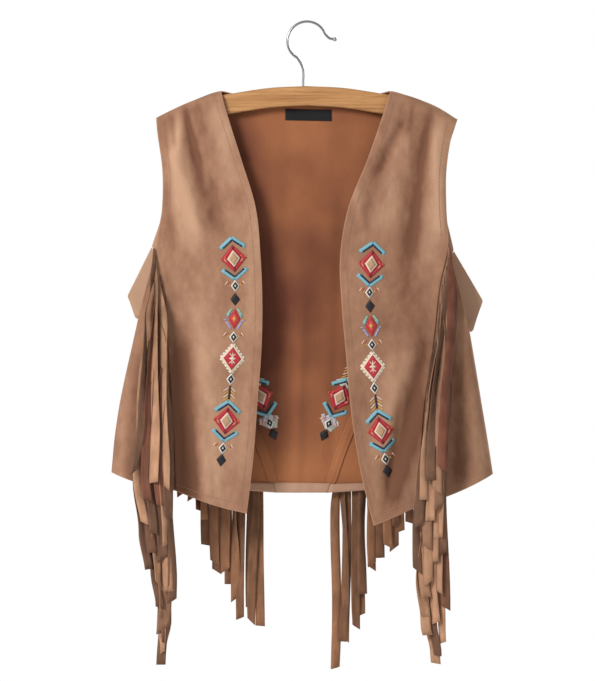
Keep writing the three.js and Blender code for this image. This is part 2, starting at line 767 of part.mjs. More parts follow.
function hangerBar() {
  const blank = new THREE.ExtrudeGeometry(barOutline(), {
    depth: BAR_THICKNESS - 2 * BAR_EDGE,
    bevelEnabled: true,
    bevelThickness: BAR_EDGE,
    bevelSize: BAR_EDGE,
    bevelOffset: -BAR_EDGE,
    bevelSegments: 2,
    curveSegments: 1,
  });
  blank.translate(0, 0, -(BAR_THICKNESS - 2 * BAR_EDGE) / 2);
  blank.rotateX(Math.PI / 2);
  const hole = new THREE.CylinderGeometry(WIRE_RADIUS + SEAM_GAP, WIRE_RADIUS + SEAM_GAP, 30, 12);
  hole.rotateX(Math.PI / 2);
  hole.translate(HOOK_STEM.x, 0, HOOK_STEM.footZ + 15 - SEAM_GAP);
  return fromSolid(toSolid(blank).subtract(toSolid(hole)));
}

function hookCurve() {
  const points = [
    new THREE.Vector3(HOOK_STEM.x, 0, HOOK_STEM.footZ),
    new THREE.Vector3(HOOK_STEM.x, 0, HOOK_STEM.shoulderZ),
    new THREE.Vector3(HOOK_STEM.x - 0.4, 0, HOOK_STEM.neckZ),
  ];
  for (const t of range(HOOK_ARC.steps)) {
    const angle = THREE.MathUtils.degToRad(lerp(HOOK_ARC.from, HOOK_ARC.to, t));
    const x = HOOK_CENTRE.x + HOOK_RADIUS * Math.cos(angle);
    const z = HOOK_CENTRE.z + HOOK_RADIUS * Math.sin(angle);
    points.push(new THREE.Vector3(x, 0, z));
  }
  points.push(new THREE.Vector3(HOOK_TIP.bendX, 0, HOOK_TIP.bendZ));
  points.push(new THREE.Vector3(HOOK_TIP.x, 0, HOOK_TIP.z));
  return new THREE.CatmullRomCurve3(points, false, 'centripetal');
}

function hangerHook() {
  const circle = new THREE.Shape();
  circle.absarc(0, 0, WIRE_RADIUS, 0, 2 * Math.PI);
  const wire = new THREE.ExtrudeGeometry(circle, {
    extrudePath: hookCurve(),
    steps: 34,
    curveSegments: 4,
    bevelEnabled: false,
  });
  const bead = new THREE.SphereGeometry(HOOK_TIP.beadRadius, 12, 8);
  bead.translate(HOOK_TIP.x, 0, HOOK_TIP.z);
  return fromSolid(toSolid(wire).add(toSolid(bead)));
}

const vest = new THREE.Group();
for (const side of ['left', 'right']) {
  vest.add(named(`front_${side}`, wall(frontPanel(side), -1), SUEDE));
  vest.add(named(`side_front_${side}`, wall(sideFrontPanel(side), -1), SUEDE));
  vest.add(named(`back_side_${side}`, wall(backSidePanel(side), 1), SUEDE));
  vest.add(named(`fringe_front_${side}`, frontFringe(side), SUEDE_DARK));
  vest.add(named(`fringe_back_${side}`, backFringe(side), SUEDE_DARK));
}
vest.add(named('back_centre', wall(backCentrePanel(), 1), SUEDE));
vest.add(named('neck_label', neckLabel(), LABEL_BLACK, 0.8));
vest.add(named('hanger_bar', hangerBar(), WOOD, 0.5));
vest.add(named('hanger_hook', hangerHook(), STEEL, 0.35, 1));

export default vest;
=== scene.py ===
import math
import random

import bmesh
import bpy
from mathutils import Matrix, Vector, noise


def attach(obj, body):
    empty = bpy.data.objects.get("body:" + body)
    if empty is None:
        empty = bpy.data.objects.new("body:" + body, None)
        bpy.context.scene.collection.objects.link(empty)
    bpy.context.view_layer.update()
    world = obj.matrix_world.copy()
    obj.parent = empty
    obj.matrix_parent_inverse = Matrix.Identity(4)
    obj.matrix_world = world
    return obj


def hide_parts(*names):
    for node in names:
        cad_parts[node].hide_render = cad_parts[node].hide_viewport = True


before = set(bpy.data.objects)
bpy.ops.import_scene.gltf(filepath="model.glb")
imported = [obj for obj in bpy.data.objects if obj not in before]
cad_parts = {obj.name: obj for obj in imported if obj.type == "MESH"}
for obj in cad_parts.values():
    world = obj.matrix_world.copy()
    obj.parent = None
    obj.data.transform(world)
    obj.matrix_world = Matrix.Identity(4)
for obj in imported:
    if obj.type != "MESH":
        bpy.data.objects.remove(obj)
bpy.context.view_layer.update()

# Hanger bar
# A flat arch sawn from pale hardwood 11 mm thick, its edges rounded over, sanded and clear
# varnished. Its low ends carry the shoulders of the vest, and its face is left bare.
# Lengths are millimetres until a piece's mesh is finished.

BAR_CENTRE_X = 3
BAR_THICKNESS = 11
BAR_STATIONS = [
    # x, top, height
    (0, -78, 24),
    (45, -80.2, 24.5),
    (92, -87.2, 25),
    (120, -92, 25),
    (135, -96.9, 24),
    (150, -103.1, 22),
    (168, -112.4, 17),
    (178, -120.5, 8),
]
BAR_ROUNDING = 0.42
BAR_END_FROM = 0.965
BAR_END_SHRINK = 0.35


def lerp(a, b, t):
    return a + (b - a) * t


def smooth(t):
    s = min(1, max(0, t))
    return s * s * (3 - 2 * s)


# A smooth line through points, read by a share of its steps
def smooth_line(points):
    points = [Vector(p) for p in points]
    last = len(points) - 1

    def at(t):
        place = min(max(t, 0), 1) * last
        i = min(int(place), last - 1)
        w = place - i
        p1, p2 = points[i], points[i + 1]
        p0 = points[i - 1] if i > 0 else p1 * 2 - p2
        p3 = points[i + 2] if i + 2 <= last else p2 * 2 - p1
        d0, d1, d2 = (max((b - a).length, 1e-6) ** 0.5 for a, b in ((p0, p1), (p1, p2), (p2, p3)))
        start = ((p1 - p0) / d0 - (p2 - p0) / (d0 + d1) + (p2 - p1) / d1) * d1
        end = ((p2 - p1) / d1 - (p3 - p1) / (d1 + d2) + (p3 - p2) / d2) * d1
        eased = w * w * (3 - 2 * w)
        return p1 * (1 - eased) + p2 * eased + start * (w * (1 - w) ** 2) + end * (w * w * (w - 1))

    return at


# A grid whose points are moved to place(u, v): u runs across and v down, both from 0 to 1.
# Place gives the point and a value for each mark. The UV map is in millimetres.
def add_surface(bm, columns, rows, place, marks=(), uv_size=(1, 1), out=None):
    layers = [bm.verts.layers.float.get(mark) or bm.verts.layers.float.new(mark) for mark in marks]
    uv_map = bm.loops.layers.uv.get("UVMap") or bm.loops.layers.uv.new("UVMap")
    made = bmesh.ops.create_grid(bm, x_segments=columns, y_segments=rows, size=1)["verts"]
    shares = {vert: ((vert.co.x + 1) / 2, (1 - vert.co.y) / 2) for vert in made}
    faces = list({face for vert in made for face in vert.link_faces})
    for face in faces:
        face.smooth = True
        for loop in face.loops:
            u, v = shares[loop.vert]
            loop[uv_map].uv = (u * uv_size[0], v * uv_size[1])
    for vert, (u, v) in shares.items():
        values = place(u, v)
        if marks:
            vert.co = values[0]
            for layer, value in zip(layers, values[1:]):
                vert[layer] = value
        else:
            vert.co = values
    if out is not None:
        for face in faces:
            face.normal_update()
        if sum(face.normal.dot(out) * face.calc_area() for face in faces) < 0:
            bmesh.ops.reverse_faces(bm, faces=faces)
    return faces


# The finished mesh, in metres, rides on the one body
def finish_piece(bm, name, materials, nodes=()):
    bmesh.ops.scale(bm, vec=(0.001, 0.001, 0.001), verts=bm.verts)
    mesh = bpy.data.meshes.new(name)
    bm.to_mesh(mesh)
    bm.free()
    piece = bpy.data.objects.new(name, mesh)
    bpy.context.scene.collection.objects.link(piece)
    for material in materials:
        mesh.materials.append(material)
    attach(piece, "root")
    if nodes:
        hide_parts(*nodes)
    return piece


# One node with its settings and its links
def add_node(tree, kind, settings=None, links=None):
    node = tree.nodes.new(kind)
    for key, value in (settings or {}).items():
        if isinstance(key, int) or key in node.inputs:
            node.inputs[key].default_value = value
        else:
            setattr(node, key, value)
    for socket, source in (links or {}).items():
        tree.links.new(source, node.inputs[socket])
    return node


def linear(hex_colour):
    values = [int(hex_colour[i:i + 2], 16) / 255 for i in (1, 3, 5)]
    return (*(v / 12.92 if v <= 0.04045 else ((v + 0.055) / 1.055) ** 2.4 for v in values), 1)


def new_material(name, **settings):
    material = bpy.data.materials.new(name)
    material.use_nodes = True
    shader = material.node_tree.nodes["Principled BSDF"]
    for key, value in settings.items():
        shader.inputs[key.replace("_", " ")].default_value = value
    return material, material.node_tree, shader


# Varnished hardwood: long soft grain, finer dark pores and a thin glossy coat
def varnished_wood():
    material, tree, shader = new_material(
        "varnished_hardwood", Roughness=0.42, Coat_Weight=0.25, Coat_Roughness=0.2)
    place = add_node(tree, "ShaderNodeTexCoord").outputs["Object"]
    along = add_node(tree, "ShaderNodeMapping", {"Scale": (9, 160, 260)}, {"Vector": place})
    figure = add_node(tree, "ShaderNodeTexNoise", {"Scale": 1, "Detail": 4, "Distortion": 0.6},
                      {"Vector": along.outputs[0]})
    fine = add_node(tree, "ShaderNodeMapping", {"Scale": (45, 900, 900)}, {"Vector": place})
    pores = add_node(tree, "ShaderNodeTexNoise", {"Scale": 1, "Detail": 2}, {"Vector": fine.outputs[0]})
    grain = add_node(tree, "ShaderNodeMapRange", {"From Min": 0.32, "From Max": 0.68},
                     {"Value": figure.outputs[0]})
    colour = add_node(tree, "ShaderNodeMix",
                      {"data_type": "RGBA", 6: linear("#C8935C"), 7: linear("#9C6838")},
                      {0: grain.outputs[0]})
    pore = add_node(tree, "ShaderNodeMapRange", {"From Min": 0.56, "From Max": 0.72, "To Max": 0.45},
                    {"Value": pores.outputs[0]})
    pored = add_node(tree, "ShaderNodeMix", {"data_type": "RGBA", 7: linear("#8A5727")},
                     {0: pore.outputs[0], 6: colour.outputs[2]})
    tree.links.new(pored.outputs[2], shader.inputs["Base Color"])
    bump = add_node(tree, "ShaderNodeBump", {"Strength": 0.15, "Distance": 0.0003},
                    {"Height": pores.outputs[0]})
    tree.links.new(bump.outputs[0], shader.inputs["Normal"])
    return material


bar_top = smooth_line([(x, top) for x, top, height in BAR_STATIONS])
bar_height = smooth_line([(x, height) for x, top, height in BAR_STATIONS])


def bar_point(u, v):
    across = abs(2 * v - 1)
    side = 1 if v > 0.5 else -1
    x, top = bar_top(across)
    height = bar_height(across)[1]
    past = max(0, across - BAR_END_FROM) / (1 - BAR_END_FROM)
    end = max(0, 1 - past ** 2) ** 0.5
    angle = 2 * math.pi * u
    y = math.copysign(abs(math.cos(angle)) ** BAR_ROUNDING, math.cos(angle)) * BAR_THICKNESS / 2
    z = math.copysign(abs(math.sin(angle)) ** BAR_ROUNDING, math.sin(angle)) * height / 2
    shrink = lerp(BAR_END_SHRINK, 1, end)
    return Vector((BAR_CENTRE_X + side * x, y * shrink, top - height / 2 + z * shrink))


bm = bmesh.new()
add_surface(bm, 40, 110, bar_point)
bmesh.ops.remove_doubles(bm, verts=bm.verts, dist=0.001)
bmesh.ops.holes_fill(bm, edges=[edge for edge in bm.edges if edge.is_boundary])
bmesh.ops.recalc_face_normals(bm, faces=bm.faces)
finish_piece(bm, "bar", [varnished_wood()], ["hanger_bar"])

# Hanger hook
# Steel wire 3 mm thick, bent to a 48 mm hook and plated. Its straight stem is driven into the
# bar, and its free end turns up to a small rounded bead.

WIRE_RADIUS = 1.5
HOOK_RADIUS = 24
HOOK_CENTRE = (3.7, WIRE_RADIUS - HOOK_RADIUS)
HOOK_STEM = [(-1, -90), (-1, -74), (-1.4, -56)]
# first and last angle in degrees, and the steps between them
HOOK_ARC = (240, 22, 20)
HOOK_TIP = [(31.5, -19.2), (38, -20.3)]
BEAD_RADIUS = 2.5


def plated_steel():
    material, tree, shader = new_material("plated_steel_wire", Metallic=1.0, Base_Color=linear("#A6A7AB"))
    place = add_node(tree, "ShaderNodeTexCoord").outputs["Object"]
    drawn = add_node(tree, "ShaderNodeTexNoise", {"Scale": 900, "Detail": 2}, {"Vector": place})
    worn = add_node(tree, "ShaderNodeMapRange", {"To Min": 0.22, "To Max": 0.42}, {"Value": drawn.outputs[0]})
    tree.links.new(worn.outputs[0], shader.inputs["Roughness"])
    bump = add_node(tree, "ShaderNodeBump", {"Strength": 0.1, "Distance": 0.0001},
                    {"Height": drawn.outputs[0]})
    tree.links.new(bump.outputs[0], shader.inputs["Normal"])
    return material


start, end, steps = HOOK_ARC
arc = [math.radians(lerp(start, end, i / steps)) for i in range(steps + 1)]
centre_x, centre_z = HOOK_CENTRE
round_hook = [(centre_x + HOOK_RADIUS * math.cos(a), centre_z + HOOK_RADIUS * math.sin(a)) for a in arc]
wire = smooth_line(HOOK_STEM + round_hook + HOOK_TIP)


def wire_point(u, v):
    here = wire(v)
    ahead = (wire(min(1, v + 0.002)) - wire(max(0, v - 0.002))).normalized()
    angle = 2 * math.pi * u
    side = WIRE_RADIUS * math.cos(angle)
    return Vector((here.x - ahead.y * side, WIRE_RADIUS * math.sin(angle), here.y + ahead.x * side))


bm = bmesh.new()
add_surface(bm, 14, 120, wire_point)
bmesh.ops.remove_doubles(bm, verts=bm.verts, dist=0.001)
bmesh.ops.holes_fill(bm, edges=[edge for edge in bm.edges if edge.is_boundary])
bead = bmesh.ops.create_uvsphere(bm, u_segments=16, v_segments=10, radius=BEAD_RADIUS)["verts"]
bmesh.ops.translate(bm, vec=(HOOK_TIP[-1][0], 0, HOOK_TIP[-1][1]), verts=bead)
bmesh.ops.recalc_face_normals(bm, faces=bm.faces)
for face in bm.faces:
    face.smooth = True
finish_piece(bm, "hook", [plated_steel()], ["hanger_hook"])

# Centre fronts
# Two panels of imitation suede 1.5 mm thick that hang from the shoulder seams to pointed hems.
# Each has a turned and stitched front edge, armhole and hem, and long soft folds from its shoulder.

CLOTH = 1.5
SEAM_GAP = 0.3
SHOULDER_ROLL = 11
FRONT_DEPTH_AT_HEM = 25
BACK_DEPTH_AT_HEM = 24
DEPTH_FROM_Z = -120
HEM_Z = -579
WELL_BELOW_SHOULDER = 60
FOLD_FADE = 40

FRONT_SECTIONS = {
    # front edge x, z, then outer edge x, z: the armhole for four steps, then the princess seam
    "left": [
        (-102, -84, -182, -117),
        (-97, -104, -180, -137),
        (-77, -168, -174, -182),
        (-59, -229, -174.5, -230),
        (-53, -291, -181, -275),
        (-51, -345, -171.5, -322),
        (-52, -401, -167, -392),
        (-57, -468, -162.5, -464),
        (-62, -535, -159, -523),
        (-70, -603, -157, -575),
    ],
    "right": [
        (106, -84, 189, -119),
        (100, -104, 182, -137),
        (78, -168, 175, -182),
        (54, -229, 175, -230),
        (44, -291, 177, -275),
        (46, -345, 167, -322),
        (51, -405, 159, -392),
        (57, -473, 148, -464),
        (68, -545, 143, -532),
        (85, -618, 141.5, -593),
    ],
}
SEAM_TOP_ROW = 4
FRONT_STEPS = len(FRONT_SECTIONS["left"]) - 1
SEAM_TOP_SHARE = SEAM_TOP_ROW / FRONT_STEPS
# From the shoulder down to the second section
FRONT_FIRST_STEP = 20
TURN_IN = 10
STITCH_INSET = 9
# Further in than a turned edge shows
CLEAR_OF_EDGE = 60
EDGE_CURL = 1.3
EDGE_CURL_WAVE = 21
EDGE_CURL_REACH = 8
ROOT_LIP = 1.5
ROOT_LIP_REACH = 5
OUTWARD = {"left": -1, "right": 1}
SHOULDER_BULGE = {"left": 2.6, "right": 5}
FRONT_HEM_SAG = {"left": 3, "right": 1}
ROLL_ROWS = 0.08

# The largest folds: soft ridges or, with a negative height, troughs
FRONT_FOLDS = [
    # top x, z, foot x, z, width, height
    (-153, -385, -138, -590, 12, -5),
    (-128, -330, -112, -600, 13, 2.5),
    (-143, -120, -122, -262, 8, -1.6),
    (-163, -125, -150, -275, 9, 1.5),
    (150, -400, 104, -575, 11, -5),
    (128, -330, 92, -540, 14, 2.5),
    (134, -110, 118, -420, 10, -2.2),
    (160, -130, 150, -300, 10, 1.5),
    (-190, -420, -200, -570, 12, -2),
    (190, -420, 198, -570, 12, -2),
]
# Finer creases that break up the large folds
FRONT_CREASES = [
    # top x, z, foot x, z, width, height
    (-161, -116, -158, -156, 3.5, -1.4),
    (-171, -118, -166, -157, 3, -1),
    (-148, -108, -131, -172, 6, -1.8),
    (-131, -165, -112, -250, 7, -1.8),
    (-153, -112, -156, -175, 6, 1.2),
    (-156, -168, -126, -265, 7, 1.4),
    (-130, -100, -119, -138, 4, -1.2),
    (-112, -190, -100, -262, 7, -1.4),
    (-140, -290, -128, -345, 13, -0.5),
    (155, -108, 146, -165, 6, -1.8),
    (146, -158, 133, -285, 7, -2),
    (121, -98, 119, -130, 5, -1.2),
    (120, -125, 90, -188, 6, -1.8),
    (64, -205, 74, -268, 5, 1.2),
    (129, -140, 127, -190, 5, 1.2),
    (162, -125, 168, -265, 7, 1.5),
    (-146, -395, -152, -560, 4, -1.2),
    (-120, -470, -108, -595, 5, -1),
    (118, -470, 100, -600, 5, -1.2),
    (72, -540, 84, -605, 5, -0.8),
]
# Painted light in patches or, with a negative tone, painted shade, where light falls brighter or darker on the
# cloth
FRONT_PAINTED_PATCHES = [
    # top x, z, foot x, z, width, tone
    (-106, -105, -86, -205, 12, 2.6),
    (-158, -125, -162, -240, 9, 1.6),
    (-148, -190, -139, -280, 12, 2),
    (-156, -425, -145, -600, 16, -4.2),
    (-166, -300, -160, -420, 7, -1.4),
    (-62, -255, -76, -570, 9, 1.3),
    (-100, -250, -112, -560, 22, 0.8),
    (92, -165, 70, -262, 9, -2.2),
    (119, -135, 100, -255, 12, 1.6),
    (152, -102, 128, -335, 11, -1.8),
    (-146, -104, -137, -150, 5, -2),
    (-135, -104, -126, -140, 4, -1.6),
    (-138, -140, -124, -215, 6, -1.6),
    (-114, -190, -112, -262, 5, -1),
    (112, -130, 106, -560, 62, -0.8),
    (-168, -205, -160, -285, 7, -2),
    (-164, -112, -160, -150, 4, -1.6),
    (134, -100, 128, -135, 4, -1.4),
    (100, -112, 96, -165, 5, -1.4),
    (184, -400, 191, -590, 9, -2.4),
    (205, -430, 214, -580, 8, 1),
    (-205, -410, -213, -575, 7, -2.2),
    (-219, -430, -228, -570, 6, 1),
    (167, -125, 160, -290, 10, 2),
    (55, -380, 62, -540, 10, -1.2),
    (128, -395, 110, -545, 14, 1.6),
    (148, -470, 108, -595, 10, -3.8),
    (128, -325, 142, -405, 17, -1.8),
]
CREASE_DEPTH = 1.7
NOISE_SIZE = 42
NOISE_HEIGHT = 1.1
FRONT_SEED = 1
# How strongly the fold relief is painted as light on ridges and shade in troughs
FRONT_FOLD_SHADING_SHARE = 0.8


def fold_height(fold, x, z):
    top_x, top_z, foot_x, foot_z, width, height = fold
    dx, dz = foot_x - top_x, foot_z - top_z
    squared = dx * dx + dz * dz
    along = ((x - top_x) * dx + (z - top_z) * dz) / squared
    across = ((x - top_x) * dz - (z - top_z) * dx) / math.sqrt(squared) / width
    if abs(across) > 3 or along < -0.2 or along > 1.2:
        return 0
    fade = smooth(along / 0.3 + 0.5) * smooth((1.1 - along) / 0.25)
    return height * fade * math.exp(-across * across)


def heights(rows, x, z):
    return sum(fold_height(row, x, z) for row in rows)


def relief(folds, creases, x, z, seed):
    small = noise.noise(Vector((x / NOISE_SIZE, seed, z / NOISE_SIZE / 1.6))) * NOISE_HEIGHT
    return small + CREASE_DEPTH * heights(creases, x, z) + heights(folds, x, z)


# How far a layer stands from the middle plane
def layer_depth(x, z, drop, depth_at_hem, folds, creases, seed):
    rolled = min(drop, SHOULDER_ROLL)
    roll = math.sqrt(max(0, rolled * (2 * SHOULDER_ROLL - rolled)))
    widening = smooth((DEPTH_FROM_Z - z) / (DEPTH_FROM_Z - HEM_Z) / 1.1)
    fade_in = smooth((drop - SHOULDER_ROLL) / FOLD_FADE)
    depth = SEAM_GAP / 2 + roll + (depth_at_hem - SHOULDER_ROLL) * widening
    return depth + (fade_in * relief(folds, creases, x, z, seed) if fade_in else 0)


def front_y(x, z, drop=WELL_BELOW_SHOULDER):
    return -layer_depth(x, z, drop, FRONT_DEPTH_AT_HEM, FRONT_FOLDS, FRONT_CREASES, FRONT_SEED)


# Painted shading: how far the cloth is painted lighter on fold ridges and darker in troughs and in the painted
# patches, against its middle colour
def front_painted_shading(x, z):
    folded = relief(FRONT_FOLDS, FRONT_CREASES, x, z, FRONT_SEED)
    return FRONT_FOLD_SHADING_SHARE * folded + heights(FRONT_PAINTED_PATCHES, x, z)


# Rows of a panel that starts at the shoulder: close together over the roll, then even
def shoulder_share(v, first_step, steps):
    roll_end = SHOULDER_ROLL / first_step / steps
    if v < ROLL_ROWS:
        return roll_end * (1 - math.cos(math.pi / 2 * v / ROLL_ROWS))
    return lerp(roll_end, 1, (v - ROLL_ROWS) / (1 - ROLL_ROWS))


def front_lines(side):
    rows = FRONT_SECTIONS[side]
    return smooth_line([row[:2] for row in rows]), smooth_line([row[2:] for row in rows])


def front_panel(side):
    edge, outer = front_lines(side)
    bulge = SHOULDER_BULGE[side]

    def place(u, v):
        share = shoulder_share(v, FRONT_FIRST_STEP, FRONT_STEPS)
        a, b = edge(share), outer(share)
        width = (b - a).length
        in_seam = share >= SEAM_TOP_SHARE
        w = u * (1 - SEAM_GAP / 2 / width) if in_seam else u
        arch = math.sin(math.pi * u)
        x = lerp(a[0], b[0], w)
        z = lerp(a[1], b[1], w) + bulge * arch * (1 - smooth(share * 4))
        z -= FRONT_HEM_SAG[side] * arch * smooth(share * 3 - 2)
        top_z = lerp(edge(0)[1], outer(0)[1], u) + bulge * arch
        y = front_y(x, z, max(0, top_z - z))
        # the free edge curls a little, and the seam's edge lies over the roots of the fringe
        curl = EDGE_CURL * math.sin(z / EDGE_CURL_WAVE) * math.exp(-(w * width / EDGE_CURL_REACH) ** 2)
        y -= curl * smooth(share * 5)
        lip = ROOT_LIP * math.exp(-((1 - w) * width / ROOT_LIP_REACH) ** 2)
        y -= lip * smooth((share - SEAM_TOP_SHARE) * 25)
        from_hem = (1 - share) * abs(edge(1)[1] - edge(0)[1])
        from_armhole = (1 - w) * width + CLEAR_OF_EDGE * smooth((share - SEAM_TOP_SHARE) * 12)
        from_edge = min(w * width, from_armhole, from_hem)
        return Vector((x, y, z)), from_edge, front_painted_shading(x, z)

    return place


# Imitation suede: a matt velvety nap, brushed into lighter and darker patches 8 to 40 mm wide, with painted
# light on fold ridges and painted shade in troughs, paler within 2 mm of turned edges, and a pressed line 9 mm
# in along each turned edge
def imitation_suede(name, light, middle, dark):
    material, tree, shader = new_material(
        name, Roughness=0.95, Specular_IOR_Level=0.2, Sheen_Weight=0.35, Sheen_Roughness=0.45,
        Sheen_Tint=linear("#E2BFA2"))
    place = add_node(tree, "ShaderNodeTexCoord").outputs["Object"]
    brushed = add_node(tree, "ShaderNodeMapping", {"Scale": (1, 1, 0.55)}, {"Vector": place})
    clouds = add_node(tree, "ShaderNodeTexNoise", {"Scale": 26, "Detail": 3, "Roughness": 0.55},
                      {"Vector": brushed.outputs[0]})
    patches = add_node(tree, "ShaderNodeTexNoise", {"Scale": 110, "Detail": 4, "Roughness": 0.6},
                       {"Vector": brushed.outputs[0]})
    # painted light and painted shade from the folds and the painted patches, carried by a mark on the mesh
    fold = add_node(tree, "ShaderNodeAttribute", {"attribute_name": "tone_and_shading"})
    from_edge = add_node(tree, "ShaderNodeAttribute", {"attribute_name": "from_edge"})
    painted_light_and_shade = add_node(tree, "ShaderNodeMapRange",
                      {"From Min": -5, "From Max": 5, "To Min": -0.68, "To Max": 0.68},
                      {"Value": fold.outputs["Fac"]})
    mixed = add_node(tree, "ShaderNodeMix", {0: 0.42}, {2: clouds.outputs[0], 3: patches.outputs[0]})
    spread = add_node(tree, "ShaderNodeMapRange",
                      {"From Min": 0.3, "From Max": 0.7, "To Min": 0.28, "To Max": 0.78},
                      {"Value": mixed.outputs[0]})
    shade = add_node(tree, "ShaderNodeMath", {"operation": "ADD", "use_clamp": True},
                     {0: spread.outputs[0], 1: painted_light_and_shade.outputs[0]})
    low = add_node(tree, "ShaderNodeMapRange", {"From Max": 0.5}, {"Value": shade.outputs[0]})
    high = add_node(tree, "ShaderNodeMapRange", {"From Min": 0.5, "To Max": 1}, {"Value": shade.outputs[0]})
    darker = add_node(tree, "ShaderNodeMix", {"data_type": "RGBA", 6: linear(dark), 7: linear(middle)},
                      {0: low.outputs[0]})
    colour = add_node(tree, "ShaderNodeMix", {"data_type": "RGBA", 7: linear(light)},
                      {0: high.outputs[0], 6: darker.outputs[2]})
    # paler within 2 mm of a turned edge
    lightening = add_node(tree, "ShaderNodeMapRange",
                      {"From Min": 0.2, "From Max": 1.8, "To Min": 0.45, "To Max": 0},
                      {"Value": from_edge.outputs["Fac"]})
    edged = add_node(tree, "ShaderNodeMix", {"data_type": "RGBA", 7: linear(light)},
                     {0: lightening.outputs[0], 6: colour.outputs[2]})
    line = add_node(tree, "ShaderNodeMath", {"operation": "COMPARE", 1: STITCH_INSET, 2: 0.7},
                    {0: from_edge.outputs["Fac"]})
    line_share = add_node(tree, "ShaderNodeMath", {"operation": "MULTIPLY", 1: 0.08}, {0: line.outputs[0]})
    lined = add_node(tree, "ShaderNodeMix", {"data_type": "RGBA", 7: linear(dark)},
                     {0: line_share.outputs[0], 6: edged.outputs[2]})
    tree.links.new(lined.outputs[2], shader.inputs["Base Color"])
    # the nap itself is finer than 0.2 mm, so it is drawn at 0.8 mm to show
    nap = add_node(tree, "ShaderNodeTexNoise", {"Scale": 1250, "Detail": 3}, {"Vector": place})
    turned = add_node(tree, "ShaderNodeMapRange",
                      {"From Min": TURN_IN - 2, "From Max": TURN_IN, "To Min": 1, "To Max": 0},
                      {"Value": from_edge.outputs["Fac"]})
    height = add_node(tree, "ShaderNodeMath", {"operation": "MULTIPLY_ADD", 1: 0.6},
                      {0: patches.outputs[0], 2: nap.outputs[0]})
    hemmed = add_node(tree, "ShaderNodeMath", {"operation": "MULTIPLY_ADD", 1: 0.5},
                      {0: turned.outputs[0], 2: height.outputs[0]})
    bump = add_node(tree, "ShaderNodeBump", {"Strength": 0.35, "Distance": 0.0006},
                    {"Height": hemmed.outputs[0]})
    tree.links.new(bump.outputs[0], shader.inputs["Normal"])
    return material


# Painted shade on the wrong side or, at the feet of the armholes and above the hem, painted light
INNER_PAINTED_SHADING = [
    # top x, z, foot x, z, width, tone
    (-75, -115, -52, -330, 24, -3.4),
    (-50, -330, -62, -520, 28, -3.6),
    (-5, -260, 0, -430, 50, -2.6),
    (62, -240, 70, -440, 30, -1),
    (-70, -548, 80, -548, 34, 3),
    (-20, -130, 30, -130, 45, 1.2),
    (-190, -210, -232, -410, 34, 9),
    (190, -215, 234, -415, 34, 9),
]


# The wrong side: a smooth tight knit, warmer and darker than the nap
def suede_wrong_side(name, light, dark):
    material, tree, shader = new_material(
        name, Roughness=0.9, Specular_IOR_Level=0.25, Sheen_Weight=0.15, Sheen_Roughness=0.5)
    place = add_node(tree, "ShaderNodeTexCoord").outputs["Object"]
    clouds = add_node(tree, "ShaderNodeTexNoise", {"Scale": 14, "Detail": 3}, {"Vector": place})
    # painted shade and painted light on the wrong side, carried by a mark on the mesh
    inner = add_node(tree, "ShaderNodeAttribute", {"attribute_name": "inner_painted_shading"})
    spread = add_node(tree, "ShaderNodeMapRange",
                      {"From Min": 0.3, "From Max": 0.7, "To Min": 0.3, "To Max": 0.7},
                      {"Value": clouds.outputs[0]})
    shade = add_node(tree, "ShaderNodeMath", {"operation": "MULTIPLY_ADD", "use_clamp": True, 1: 0.125},
                     {0: inner.outputs["Fac"], 2: spread.outputs[0]})
    knit = add_node(tree, "ShaderNodeMix", {"data_type": "RGBA", 6: linear(dark), 7: linear(light)},
                    {0: shade.outputs[0]})
    # the lit feet of the armholes are painted a pale tan as painted light
    painted_lit_tip = add_node(tree, "ShaderNodeMapRange", {"From Min": 3.5, "From Max": 6},
                     {"Value": inner.outputs["Fac"]})
    colour = add_node(tree, "ShaderNodeMix", {"data_type": "RGBA", 7: linear("#C29B7F")},
                      {0: painted_lit_tip.outputs[0], 6: knit.outputs[2]})
    tree.links.new(colour.outputs[2], shader.inputs["Base Color"])
    # the knit's loops are 0.4 mm apart, drawn at 2 mm to show
    ribs = add_node(tree, "ShaderNodeTexWave", {"bands_direction": "X", "Scale": 160, "Distortion": 1.5,
                                                "Detail": 1}, {"Vector": place})
    bump = add_node(tree, "ShaderNodeBump", {"Strength": 0.2, "Distance": 0.0003},
                    {"Height": ribs.outputs[0]})
    tree.links.new(bump.outputs[0], shader.inputs["Normal"])
    return material


suede = imitation_suede("imitation_suede", "#C0977A", "#A0765D", "#77503C")
wrong_side = suede_wrong_side("suede_wrong_side", "#AE6F47", "#6A3A29")
PANEL_MARKS = ("from_edge", "tone_and_shading", "inner_painted_shading")


# The thickness of cloth, tape or thread, in millimetres, on a mesh of one face
def thicken(piece, name, thickness, offset):
    wall = piece.modifiers.new(name, "SOLIDIFY")
    wall.thickness = thickness * 0.001
    wall.offset = offset
    return wall


# A cloth panel: its outer face is made first, and the wall's thickness goes inwards
def make_panel(name, node, columns, rows, place, out):
    def marked(u, v):
        point, from_edge, tone_and_shading = place(u, v)
        return point, from_edge, tone_and_shading, heights(INNER_PAINTED_SHADING, point.x, point.z)

    bm = bmesh.new()
    add_surface(bm, columns, rows, marked, PANEL_MARKS, out=out)
    panel = finish_piece(bm, name, [suede, wrong_side], [node])
    wall = thicken(panel, "cloth_thickness", CLOTH, -1)
    wall.material_offset = 1
    wall.material_offset_rim = 0
    rounding = panel.modifiers.new("soft_edges", "BEVEL")
    rounding.width = 0.0005
    rounding.segments = 2
    rounding.limit_method = "ANGLE"
    rounding.angle_limit = math.radians(60)


FORWARDS = Vector((0, -1, 0))
BACKWARDS = Vector((0, 1, 0))
for side in ("left", "right"):
    make_panel(f"centre_front_{side}", f"front_{side}", 36, 150, front_panel(side), FORWARDS)

# Side fronts
# A panel of the same cloth on each side runs from the princess seam round a soft fold to the
# side seam, 21 mm behind it. It hangs from the seam and flares towards the hem.

